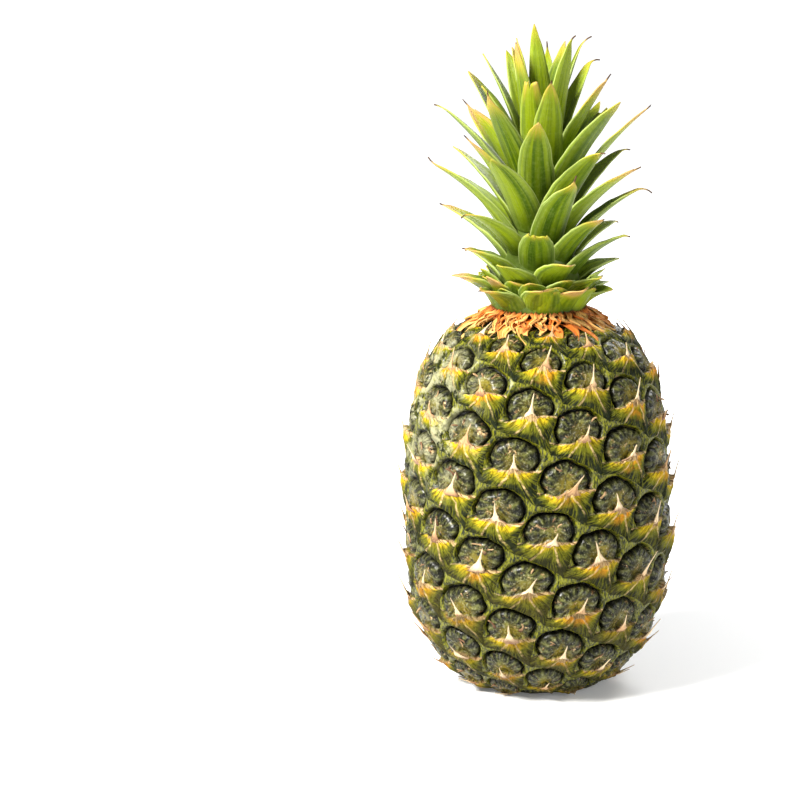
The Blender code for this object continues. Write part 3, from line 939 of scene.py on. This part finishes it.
class BladeSet(ABC):
    """Strips of leaf or bract tissue, each bent from a copy of one grid, and joined as one piece.

    A subclass holds the piece's name, the columns and rows of the grid, the thickness and the seed.
    """

    name: str
    grid: tuple[int, int]
    thickness: float
    seed: int
    thin_share: float = 0.3

    @abstractmethod
    def plans(self, draw: random.Random) -> Iterator[tuple]:
        """Where each blade grows, and what else its form depends on."""

    @abstractmethod
    def form(self, sheet: Sheet, plan: tuple, draw: random.Random) -> None:
        """Bends one flat grid to its plan, with small differences of its own."""

    def build(self) -> bpy.types.Object:
        """Builds every blade and joins them."""
        draw = random.Random(self.seed)
        flat = Mesh.grid(*self.grid)
        points = Mesh.coordinates(flat)
        side, along = points[:, 0].copy(), (points[:, 1] + 1) / 2
        blades = []
        for plan in self.plans(draw):
            blades.append(Mesh.copy(flat))
            self.form(Sheet(blades[-1], side, along), plan, draw)
        bpy.data.objects.remove(flat)
        joined = Mesh.join(blades, self.name)
        solidify = joined.modifiers.new("Thickness", "SOLIDIFY")
        solidify.thickness = self.thickness
        solidify.offset = 0.0
        if "Thickness" in joined.vertex_groups:
            solidify.vertex_group = "Thickness"
            solidify.thickness_vertex_group = self.thin_share
        Mesh.apply(joined)
        Mesh.smooth(joined)
        return joined

    @staticmethod
    def weigh(obj: bpy.types.Object, weights: np.ndarray) -> None:
        """Stores the share of the full thickness of each vertex, in steps of a tenth."""
        group = obj.vertex_groups.new(name="Thickness")
        rounded = np.rint(weights * 10).astype(int)
        for step in np.unique(rounded):
            group.add(np.flatnonzero(rounded == step).tolist(), step / 10, "REPLACE")

    @staticmethod
    def store(sheet: Sheet, draw: random.Random) -> None:
        """Stores the maps that PaperFinish reads, with two draws for the blade."""
        Mesh.corner_map(sheet.obj, "blade_place", sheet.side, sheet.along)
        Mesh.corner_map(sheet.obj, "blade_draw", draw.random(), draw.random())


@dataclass
class BractTips(BladeSet):
    """The dry, papery point that each eye's bract ends in."""

    shape: FruitShape
    name: str = "bract_tips"
    grid: tuple[int, int] = (6, 14)
    thickness: float = 0.00035
    length: float = 0.0130
    length_shares: Pair = (0.55, 1.12)
    base_width: float = 0.0078
    width_shares: Pair = (0.7, 1.25)
    tip_width: float = 0.13
    lean: float = 0.40
    curl: float = 0.9
    tear: float = 0.5
    root_back: float = 0.0016
    root_lift: float = 0.0038
    root_tuck: float = 0.0010
    tip_lift: float = 0.0030
    hollow: float = 0.0006
    least_relief: float = 0.12
    seed: int = 23

    def plans(self, draw: random.Random) -> Iterator[tuple[float, float, float]]:
        """Each tip's place across and up, and the share of full relief there."""
        for across, up in self.shape.eyes():
            faded = float(self.shape.fade(up))
            if faded >= self.least_relief:
                yield across, up, faded

    def form(self, sheet: Sheet, plan: tuple[float, float, float], draw: random.Random) -> None:
        """Shapes one tip.

        Args:
            sheet: The flat grid.
            plan: The tip's place across and up, and the share of full relief there.
            draw: The source of its small differences.
        """
        side, along, (across, up, faded) = sheet.side, sheet.along, plan
        long = self.length * draw.uniform(*self.length_shares) * between(0.45, 1.0, faded)
        width = self.base_width * draw.uniform(*self.width_shares)
        lean, curl = draw.uniform(-self.lean, self.lean), draw.uniform(-self.curl, self.curl)
        ragged = 1 + self.tear * edge_noise(side, along * 9, draw.uniform(0, 50))
        narrow = between(1.0, self.tip_width, smooth_step(0.0, 0.64, along) ** 0.62)
        half = width / 2 * narrow * (1 - along) ** 0.5 * ragged
        x = half * side + long * (lean * along + 0.18 * curl * along**2)
        y = 0.86 * long * along - self.root_back
        lift = self.root_lift + self.tip_lift * along**1.6 + self.hollow * (1 - side**2) * (1 - along)
        lift = lift - self.root_tuck * (1 - smooth_step(0.0, 0.25, along))
        Mesh.place(sheet.obj, self.shape.wrap(across + x, up + y, lift * faded))
        self.store(sheet, draw)


@dataclass
class DriedBits(BladeSet):
    """The curled remains of flowers that lie on the sepals."""

    shape: FruitShape
    name: str = "dried_bits"
    grid: tuple[int, int] = (3, 7)
    thickness: float = 0.00025
    most: int = 3
    length: Pair = (0.0025, 0.0055)
    width: Pair = (0.0006, 0.0015)
    middle: Pair = (-0.0010, 0.0050)
    spread: Pair = (0.0090, 0.0060)
    directions: Pair = (15, 165)
    reach: Pair = (0.45, 0.95)
    turned: float = 1.4
    bow: float = 0.8
    clear: float = 0.0016
    rise: float = 0.0022
    hollow: float = 0.0004
    least_relief: float = 0.5
    seed: int = 29

    def plans(self, draw: random.Random) -> Iterator[Pair]:
        """The eye that each bit lies in: none to a few in each."""
        for across, up in self.shape.eyes():
            if float(self.shape.fade(up)) < self.least_relief:
                continue
            for _ in range(draw.randint(0, self.most)):
                yield across, up

    def form(self, sheet: Sheet, plan: Pair, draw: random.Random) -> None:
        """Shapes one bit.

        Args:
            sheet: The flat grid.
            plan: The eye's place, across and up.
            draw: The source of its small differences.
        """
        side, along = sheet.side, sheet.along
        place, out = math.radians(draw.uniform(*self.directions)), draw.uniform(*self.reach)
        heading = place + draw.uniform(-self.turned, self.turned)
        long, half = draw.uniform(*self.length), draw.uniform(*self.width) / 2
        turn = heading + draw.uniform(-self.bow, self.bow) * along
        ahead = long * (along - 0.5)
        wide = half * side * (1 - 0.7 * along**2) * (1 + 0.3 * np.sin(along * 9))
        across = plan[0] + self.middle[0] + self.spread[0] * out * math.cos(place)
        up = plan[1] + self.middle[1] + self.spread[1] * out * math.sin(place)
        x = ahead * np.cos(turn) - wide * np.sin(turn)
        y = ahead * np.sin(turn) + wide * np.cos(turn)
        lift = self.clear + draw.uniform(0.2, 1.0) * self.rise * along**1.5 + self.hollow * (1 - side**2)
        Mesh.place(sheet.obj, self.shape.wrap(across + x, up + y, lift))
        self.store(sheet, draw)


@dataclass(frozen=True)
class BractLayer:
    """One ring of dry strips round the neck, from their roots to their ends."""

    count: int
    start: Pair
    end_radius: Pair
    clear: float
    width: float
    arch: float
    turn: float


@dataclass
class NeckBracts(BladeSet):
    """The collar of dry orange strips between the fruit and the crown."""

    shape: FruitShape
    name: str = "neck_strips"
    grid: tuple[int, int] = (6, 14)
    thickness: float = 0.0003
    layers: tuple[BractLayer, ...] = (
        BractLayer(30, (0.0205, 0.1668), (0.0310, 0.0400), 0.0008, 0.0066, 0.0010, 0.0),
        BractLayer(44, (0.0203, 0.1694), (0.0270, 0.0350), 0.0018, 0.0038, 0.0013, 5.0),
        BractLayer(52, (0.0207, 0.1720), (0.0245, 0.0300), 0.0030, 0.0028, 0.0012, 2.0),
    )
    fold: float = 0.0008
    crease: float = 0.0003
    seed: int = 41

    def plans(self, draw: random.Random) -> Iterator[tuple[BractLayer, float]]:
        """Each strip's layer, and its azimuth in degrees."""
        for layer in self.layers:
            for number in range(layer.count):
                yield layer, layer.turn + 360 / layer.count * (number + draw.uniform(-0.3, 0.3))

    def form(self, sheet: Sheet, plan: tuple[BractLayer, float], draw: random.Random) -> None:
        """Shapes one strip.

        Args:
            sheet: The flat grid.
            plan: The layer that it belongs to, and its azimuth in degrees.
            draw: The source of its small differences.
        """
        side, along, (layer, azimuth) = sheet.side, sheet.along, plan
        own = draw.uniform(0, 90)
        radius = between(layer.start[0], draw.uniform(*layer.end_radius), along**1.45)
        lying = self.shape.shoulder_height(radius) + layer.clear
        height = between(layer.start[1], lying, smooth_step(0.0, 0.55, along))
        height = height + layer.arch * np.sin(math.pi * along)
        height = height + draw.uniform(-0.6, 1.0) * layer.arch * along**3
        half = layer.width / 2 * draw.uniform(0.7, 1.2) * (1 - 0.85 * along**2.6)
        half = half * (1 + 0.5 * edge_noise(side, along * 5, own))
        curl = draw.uniform(-9, 9) * along**1.5 + 3.5 * np.sin(along * 8 + own) * along
        ridge = -self.fold * (1 - side**2) + self.crease * np.sin(side * 5 + own)
        turn = azimuth + np.degrees(half * side / radius) + curl
        Mesh.place(sheet.obj, self.shape.around(turn, radius, height + ridge))
        self.store(sheet, draw)


class TipKind(Enum):
    """How a leaf of the crown ends."""

    POINTED = "a stiff point"
    TAIL = "a dry, curled tail"
    FRAYED = "a torn, dry end"
    BROKEN = "an end broken off"


@dataclass(frozen=True)
class LeafPlan:
    """One leaf of the crown: where it grows, how long it is and how it leans. Angles in degrees."""

    azimuth: float
    root_height: float
    root_radius: float
    length: float
    width: float
    root_lean: float
    tip_lean: float
    cup: float
    side_lean: float


@dataclass
class CrownShape:
    """The stem, which is the part's source's, and the rule for the places of the leaves on it."""

    foot: float = 0.1709
    stem_height: float = 0.0760
    foot_radius: float = 0.0208
    tip_radius: float = 0.0040
    leaves: int = 58
    foot_leaves: int = 7
    scales: int = 24
    heart_leaves: int = 6
    golden_angle: float = 137.508
    lengths: Pair = (0.0215, 0.0540)
    widths: Pair = (0.0185, 0.0212)
    extra_width: float = 0.0045
    leans: Pair = (60, 9)
    root_leans: Pair = (-26, -6)
    tip_leans: Pair = (20, 5)
    cups: Pair = (62, 40)
    seed: int = 11

    def plans(self) -> dict[int, LeafPlan]:
        """Every leaf by its number, from the lowest up, then the foot's scales and the heart's leaves."""
        draw = random.Random(self.seed)
        found = [self.leaf(number, draw) for number in range(-self.foot_leaves, self.leaves)]
        found += [self.scale(number, draw) for number in range(self.scales)]
        found += [self.heart(number, draw) for number in range(self.heart_leaves)]
        return dict(enumerate(found, -self.foot_leaves))

    def leaf(self, number: int, draw: random.Random) -> LeafPlan:
        """A leaf that the part's source has too, with the same draws."""
        share = max(0, number) / (self.leaves - 1)
        azimuth = 2.0 + number * self.golden_angle + draw.uniform(-6, 6)
        height = self.foot + 0.0010 + (self.stem_height - 0.0050) * share**0.95
        radius = between(self.foot_radius, self.tip_radius, (height - self.foot) / self.stem_height)
        grown = float(smooth_step(0, 0.62, share))
        scale = 0.85 if number < 0 else 1.0
        length = (between(*self.lengths, grown) - 0.001 * share) * draw.uniform(0.90, 1.14) * scale
        width = between(*self.widths, grown) - 0.0080 * float(smooth_step(0.6, 1, share))
        width += self.extra_width * (1 - float(smooth_step(0.0, 0.4, share)))
        lean = between(*self.leans, share**1.8) * draw.uniform(0.92, 1.08)
        return LeafPlan(
            azimuth=azimuth,
            root_height=height,
            root_radius=radius - 0.0010,
            length=length,
            width=width,
            root_lean=lean + between(*self.root_leans, share),
            tip_lean=lean + between(*self.tip_leans, share),
            cup=between(*self.cups, share),
            side_lean=draw.uniform(-6, 6),
        )

    def scale(self, number: int, draw: random.Random) -> LeafPlan:
        """A short, broad leaf that closes a gap at the stem's foot. The part's source has none of these."""
        lifted = number % 3 * 0.0030
        lean = draw.uniform(30, 44)
        return LeafPlan(
            azimuth=number * self.golden_angle + 8.0,
            root_height=self.foot + 0.0004 + lifted,
            root_radius=self.foot_radius - 0.0006 - lifted * 0.2,
            length=draw.uniform(0.0120, 0.0170),
            width=draw.uniform(0.0170, 0.0220),
            root_lean=lean - 12,
            tip_lean=lean + 16,
            cup=56,
            side_lean=draw.uniform(-8, 8),
        )

    def heart(self, number: int, draw: random.Random) -> LeafPlan:
        """A small, young leaf that closes the middle of the crown, as seen from above."""
        return LeafPlan(
            azimuth=number * self.golden_angle + 50.0,
            root_height=self.foot + self.stem_height - 0.0030,
            root_radius=0.0030 - 0.0004 * number,
            length=draw.uniform(0.0220, 0.0270) - 0.0022 * number,
            width=0.0090 - 0.0007 * number,
            root_lean=-3,
            tip_lean=4,
            cup=58,
            side_lean=draw.uniform(-3, 3),
        )

    def build_stem(self) -> bpy.types.Object:
        """Builds the short stem that the leaves grow from."""
        bpy.ops.object.select_all(action="DESELECT")
        bpy.ops.mesh.primitive_cone_add(
            vertices=64,
            radius1=self.foot_radius,
            radius2=self.tip_radius,
            depth=self.stem_height,
            location=(0, 0, self.foot + self.stem_height / 2),
            calc_uvs=False,
        )
        bpy.ops.object.transform_apply(location=True)
        stem = Mesh.named("crown_stem")
        bevel = stem.modifiers.new("Edges", "BEVEL")
        bevel.width, bevel.segments = 0.0008, 3
        Mesh.apply(stem)
        share = (Mesh.coordinates(stem)[:, 2] - self.foot) / self.stem_height
        # The stem lies at the root end of the leaf map, so it takes the leaves' root colour, which is painted
        # shade.
        Mesh.corner_map(stem, "leaf_place", 0.0, share * 0.15)
        Mesh.corner_map(stem, "leaf_draw", 0.3, 0.0)
        Mesh.smooth(stem)
        return stem


@dataclass
class CrownLeaves(BladeSet):
    """All the crown's leaves as one piece. Their tips differ, as on a fruit that has been handled."""

    shape: CrownShape
    name: str = "crown_leaves"
    grid: tuple[int, int] = (10, 30)
    thickness: float = 0.0011
    chosen_tips: tuple[tuple[int, TipKind], ...] = (
        (10, TipKind.FRAYED),
        (13, TipKind.BROKEN),
        (16, TipKind.FRAYED),
        (21, TipKind.TAIL),
        (24, TipKind.FRAYED),
        (29, TipKind.TAIL),
        (34, TipKind.POINTED),
    )
    chosen_dryness: tuple[tuple[int, float], ...] = ((-5, 2.2), (2, 1.6), (68, 2.0))
    plain_from: int = 54
    tail_reach: Pair = (1.03, 1.08)
    tail_curl: Pair = (150, 480)
    curl: Pair = (-20, 40)
    broken_reach: Pair = (0.74, 0.84)
    tip_tear: float = 0.13
    tip_width: float = 0.0005
    frayed_width: float = 0.0013
    end_width: float = 0.00018
    end_cup: float = 16
    twist: float = 14
    margin_wave: float = 0.0004
    seed: int = 31

    def plans(self, draw: random.Random) -> Iterator[tuple[LeafPlan, TipKind, float]]:
        """Each leaf's plan, how it ends and how dry it is, where 1 is a dry tip."""
        for number, plan in self.shape.plans().items():
            tip = draw.choices(list(TipKind), weights=[6, 5, 3, 1])[0]
            if number >= self.plain_from:
                tip = TipKind.POINTED
            tip = dict(self.chosen_tips).get(number, tip)
            dry = 1.0 if tip in (TipKind.FRAYED, TipKind.BROKEN) else draw.uniform(0, 0.7)
            yield plan, tip, dict(self.chosen_dryness).get(number, dry)

    def form(self, sheet: Sheet, plan: tuple[LeafPlan, TipKind, float], draw: random.Random) -> None:
        """Shapes one leaf.

        Args:
            sheet: The flat grid.
            plan: The leaf's place and posture, how it ends and how dry it is.
            draw: The source of its small differences.
        """
        side, share, (leaf, tip, dryness) = sheet.side, sheet.along, plan
        Mesh.corner_map(sheet.obj, "leaf_draw", draw.random(), dryness)
        own = draw.uniform(0, 90)
        tail_reach, broken_reach = draw.uniform(*self.tail_reach), draw.uniform(*self.broken_reach)
        reach = {TipKind.TAIL: tail_reach, TipKind.BROKEN: broken_reach}.get(tip, 1.0)
        along = share * reach
        if tip in (TipKind.FRAYED, TipKind.BROKEN):
            torn = np.array([noise.noise(Vector((s * 3.1, own, 0))) for s in side])
            along = along * (1 + self.tip_tear * torn * smooth_step(0.55, 1.0, share))
        body = np.minimum(along, 1.0)
        half = leaf.width / 2 * (1 - body) ** 0.78 * (0.82 + 0.88 * body)
        least = self.frayed_width if tip is TipKind.FRAYED else self.tip_width
        tail = between(least, self.end_width, smooth_step(0.97, max(reach, 1.0) + 0.001, along))
        waves = edge_noise(side, along * 7, own, 3.0)
        half = np.maximum(half, tail) * (1 + 0.05 * waves * smooth_step(0.1, 0.5, body))
        cup = np.radians(between(leaf.cup, self.end_cup, body))
        twist = np.radians(draw.uniform(-self.twist, self.twist)) * body**2
        sine, cosine, bend = np.sin(twist), np.cos(twist), half / cup
        across, rise = bend * np.sin(side * cup), bend * (1 - np.cos(side * cup))
        rise = rise + self.margin_wave * waves * side**2
        across, rise = across * cosine - rise * sine, rise * cosine + across * sine
        if tip is TipKind.TAIL:
            curl = draw.choice((-1, 1)) * draw.uniform(*self.tail_curl)
        else:
            curl = draw.uniform(*self.curl)
        radius, height, lean = self.centre(leaf, along, curl)
        drift = math.tan(math.radians(leaf.side_lean)) * leaf.length * along**2
        aside = across + drift + 0.10 * leaf.length * draw.uniform(-1, 1) * np.maximum(0, along - 0.9)
        turn = math.radians(leaf.azimuth)
        radial, up = radius - rise * np.cos(lean), height + rise * np.sin(lean)
        x = radial * math.sin(turn) + aside * math.cos(turn)
        y = -radial * math.cos(turn) + aside * math.sin(turn)
        Mesh.place(sheet.obj, np.stack([x, y, up], axis=1))
        Mesh.corner_map(sheet.obj, "leaf_place", side, along)
        self.weigh(sheet.obj, (1 - 0.65 * side**2) * between(1.0, 0.4, smooth_step(0.6, 1.0, body)))

    @staticmethod
    def centre(leaf: LeafPlan, along: np.ndarray, curl: float) -> tuple[np.ndarray, np.ndarray, np.ndarray]:
        """The middle line of a leaf.

        Args:
            leaf: The leaf.
            along: The places along it, where 1 is the end of its green part.
            curl: How sharply its end curls, in degrees for each length of the leaf.

        Returns:
            The distance from the axis, the height, and the lean in radians, at each place.
        """
        steps = np.linspace(0, 1.4, 141)
        lean = between(leaf.root_lean, leaf.tip_lean, np.minimum(steps, 1.0))
        lean = np.radians(lean + curl * np.maximum(0, steps - 0.92))
        middle = (lean[1:] + lean[:-1]) / 2
        size = leaf.length * (steps[1] - steps[0])
        out = leaf.root_radius + np.concatenate([[0], np.cumsum(np.sin(middle) * size)])
        up = leaf.root_height + np.concatenate([[0], np.cumsum(np.cos(middle) * size)])
        return np.interp(along, steps, out), np.interp(along, steps, up), np.interp(along, steps, lean)


@dataclass
class CutStalk:
    """The fibrous cut end of the stalk, in its recess under the fruit."""

    radius: float = 0.0128
    low: float = 0.0004
    high: float = 0.0116
    rings: tuple[float, ...] = (0.99, 0.93, 0.84, 0.72, 0.58, 0.44, 0.30, 0.16)
    roughness: float = 0.0009

    def build(self) -> bpy.types.Object:
        """Builds the plug, with a rough cut face."""
        bpy.ops.object.select_all(action="DESELECT")
        bpy.ops.mesh.primitive_cylinder_add(
            vertices=72,
            radius=self.radius,
            depth=self.high - self.low,
            location=(0, 0, (self.high + self.low) / 2),
        )
        bpy.ops.object.transform_apply(location=True)
        stalk = Mesh.named("stalk_end")
        mesh = bmesh.new()
        mesh.from_mesh(stalk.data)
        face = min(mesh.faces, key=lambda one: one.calc_center_median().z)
        for outer, inner in zip((1.0, *self.rings), self.rings):
            bmesh.ops.inset_region(mesh, faces=[face], thickness=self.radius * (outer - inner))
        mesh.to_mesh(stalk.data)
        mesh.free()
        points = Mesh.coordinates(stalk)
        rough = np.clip(fractal(points, 0.0016) * 0.5 + 0.5, 0, 1) * self.roughness
        inside = np.hypot(points[:, 0], points[:, 1]) < self.radius * 0.985
        points[:, 2] += np.where(inside & (points[:, 2] < self.low + 0.0001), rough, 0)
        Mesh.place(stalk, points)
        Mesh.smooth(stalk)
        return stalk


@dataclass(frozen=True)
class SoftLight:
    """A soft square light that is aimed at the fruit. Its side is in metres and its power in watts."""

    name: str
    place: tuple[float, float, float]
    side: float
    power: float
    colour: Colour


@dataclass
class Studio:
    """A plain white sweep, soft light from the upper left, and the camera.

    The fruit's axis stands at axis_pixel in an image this wide. floor_glow is how brightly the floor
    shines for the camera alone, at the two distances from the fruit in glow_reach.
    """

    axis_pixel: float = 538.0
    metres_per_pixel: float = 0.000451
    image: int = 800
    distance: float = 1.10
    elevation: float = 11.0
    middle_height: float = 0.1285
    sensor: float = 36.0
    clip: Pair = (0.05, 60.0)
    floor_size: float = 24
    glow_reach: Pair = (0.05, 0.9)
    floor_glow: Pair = (0.12, 0.95)
    ambient: float = 0.20
    backdrop: float = 1.05
    lights: tuple[SoftLight, ...] = (
        SoftLight("key", (-0.80, -0.65, 1.00), 0.45, 58.0, (1.0, 0.985, 0.95)),
        SoftLight("fill", (0.95, -0.60, 0.45), 0.6, 6.0, (0.97, 0.99, 1.0)),
        SoftLight("back", (0.45, 0.9, 0.8), 0.7, 12.0, (1.0, 1.0, 1.0)),
    )

    def build(self) -> None:
        """Builds the floor, the lights and the camera."""
        self.add_floor()
        self.add_world()
        for light in self.lights:
            self.add_light(light)
        self.add_camera()
        view = bpy.context.scene.view_settings
        view.view_transform = "Standard"
        view.look = "None"

    def add_floor(self) -> None:
        """A wide white floor, which is not part of the fruit."""
        bpy.ops.object.select_all(action="DESELECT")
        bpy.ops.mesh.primitive_plane_add(size=self.floor_size)
        floor = Mesh.named("floor")
        material, graph, shader = new_material("white_sweep")
        place = graph.place()
        glow = graph.length(place).ramp(*self.glow_reach, *self.floor_glow)
        values = {
            "Base Color": graph.mix(graph.noise(place, 1.5), (0.90, 0.90, 0.90), (0.93, 0.93, 0.93)),
            "Roughness": 0.5,
            "Emission Color": (1.0, 1.0, 1.0),
            "Emission Strength": glow * self.seen(graph),
        }
        graph.fill(shader, values)
        floor.data.materials.append(material)

    def add_world(self) -> None:
        """An even white surround, which is dimmer as a light than as a backdrop."""
        world = bpy.data.worlds.new("surround")
        world.use_nodes = True
        graph = Graph(world.node_tree)
        strength = self.seen(graph).ramp(0.0, 1.0, self.ambient, self.backdrop)
        background = world.node_tree.nodes["Background"]
        graph.fill(background, {"Color": (0.98, 0.99, 1.0), "Strength": strength})
        bpy.context.scene.world = world

    @staticmethod
    def seen(graph: Graph) -> Signal:
        """1 where the camera sees the surface itself, and 0 where it only lights others."""
        return graph.add("LightPath", output="Is Camera Ray")

    def add_light(self, light: SoftLight) -> None:
        """Adds the light, aimed at the middle of the fruit."""
        bpy.ops.object.light_add(type="AREA", location=light.place)
        made = Mesh.named(light.name)
        made.data.size, made.data.energy, made.data.color = light.side, light.power, light.colour
        aim = Vector((0, 0, self.middle_height)) - Vector(light.place)
        made.rotation_euler = aim.to_track_quat("-Z", "Y").to_euler()

    def add_camera(self) -> None:
        """The camera, turned a little left so that the fruit stands where it does in the photo."""
        tilt = math.radians(self.elevation)
        centre = Vector((0, 0, self.middle_height))
        eye = centre + self.distance * Vector((0, -math.cos(tilt), math.sin(tilt)))
        aside = (self.axis_pixel - self.image / 2) * self.metres_per_pixel
        bpy.ops.object.camera_add(location=eye)
        camera = Mesh.named("camera")
        aim = centre - Vector((aside, 0, 0)) - eye
        camera.rotation_euler = aim.to_track_quat("-Z", "Y").to_euler()
        camera.data.sensor_width = self.sensor
        camera.data.lens = self.sensor * self.distance / (self.image * self.metres_per_pixel)
        camera.data.clip_start, camera.data.clip_end = self.clip
        bpy.context.scene.camera = camera


def settle(piece: bpy.types.Object, material: bpy.types.Material, slot: str, *nodes: str) -> None:
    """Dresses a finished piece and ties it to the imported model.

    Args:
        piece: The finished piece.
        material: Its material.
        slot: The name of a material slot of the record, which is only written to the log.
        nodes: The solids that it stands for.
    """
    piece.data.materials.append(material)
    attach(piece, "root")
    if nodes:
        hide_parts(*nodes)
    faces = len(piece.data.polygons)
    LOG.info("%s: %d faces, slot %s, stands for %s", piece.name, faces, slot, ", ".join(nodes) or "nothing")


def main() -> None:
    """Builds every piece, its finish and the studio."""
    logging.basicConfig(level=logging.INFO, format="%(name)s: %(message)s")
    patterns = SharedPatterns()
    shape = FruitShape()
    crown = CrownShape()
    settle(FruitSkin(shape).build(), RindFinish().material(patterns), "fruit_skin", "fruit")
    tip_paper = PaperFinish(
        name="tip_paper",
        pale=(0.74, 0.58, 0.36),
        warm=(0.50, 0.30, 0.14),
        brown=(0.17, 0.075, 0.035),
        warmth=(0.05, 0.6),
        count=5.0,
    )
    settle(BractTips(shape).build(), tip_paper.material(patterns), "dry_bracts")
    bit_paper = PaperFinish(
        name="bit_paper",
        pale=(0.42, 0.27, 0.13),
        warm=(0.15, 0.07, 0.030),
        brown=(0.04, 0.02, 0.010),
        warmth=(0.0, 1.1),
        count=4.0,
    )
    settle(DriedBits(shape).build(), bit_paper.material(patterns), "dry_bracts")
    neck_paper = PaperFinish(
        name="neck_paper",
        pale=(0.84, 0.50, 0.15),
        warm=(0.62, 0.160, 0.016),
        brown=(0.07, 0.018, 0.005),
        warmth=(0.1, 1.30),
        count=4.0,
        root_shade_reach=0.46,
    )
    settle(NeckBracts(shape).build(), neck_paper.material(patterns), "dry_bracts", "neck_bracts")
    leaf_finish = LeafFinish(
        name="leaf_outer",
        lit=(0.235, 0.310, 0.005),
        deep=(0.050, 0.100, 0.003),
        root=(0.070, 0.115, 0.005),
        bloom=(0.42, 0.49, 0.16),
        bloom_cover=0.34,
    )
    # The stem's dark green finish is painted shade, so that the gaps between the leaves read as shadow.
    stem_shade_finish = LeafFinish(
        name="leaf_inner",
        lit=(0.044, 0.092, 0.005),
        deep=(0.010, 0.030, 0.003),
        root=(0.060, 0.090, 0.010),
        bloom=(0.28, 0.36, 0.17),
        bloom_cover=0.24,
    )
    settle(CrownLeaves(crown).build(), leaf_finish.material(patterns), "crown_leaf", "crown")
    settle(crown.build_stem(), stem_shade_finish.material(patterns), "crown_leaf")
    settle(CutStalk().build(), StalkFinish().material(patterns), "cut_stalk", "stalk")
    Studio().build()


if __name__ == "__main__":
    main()
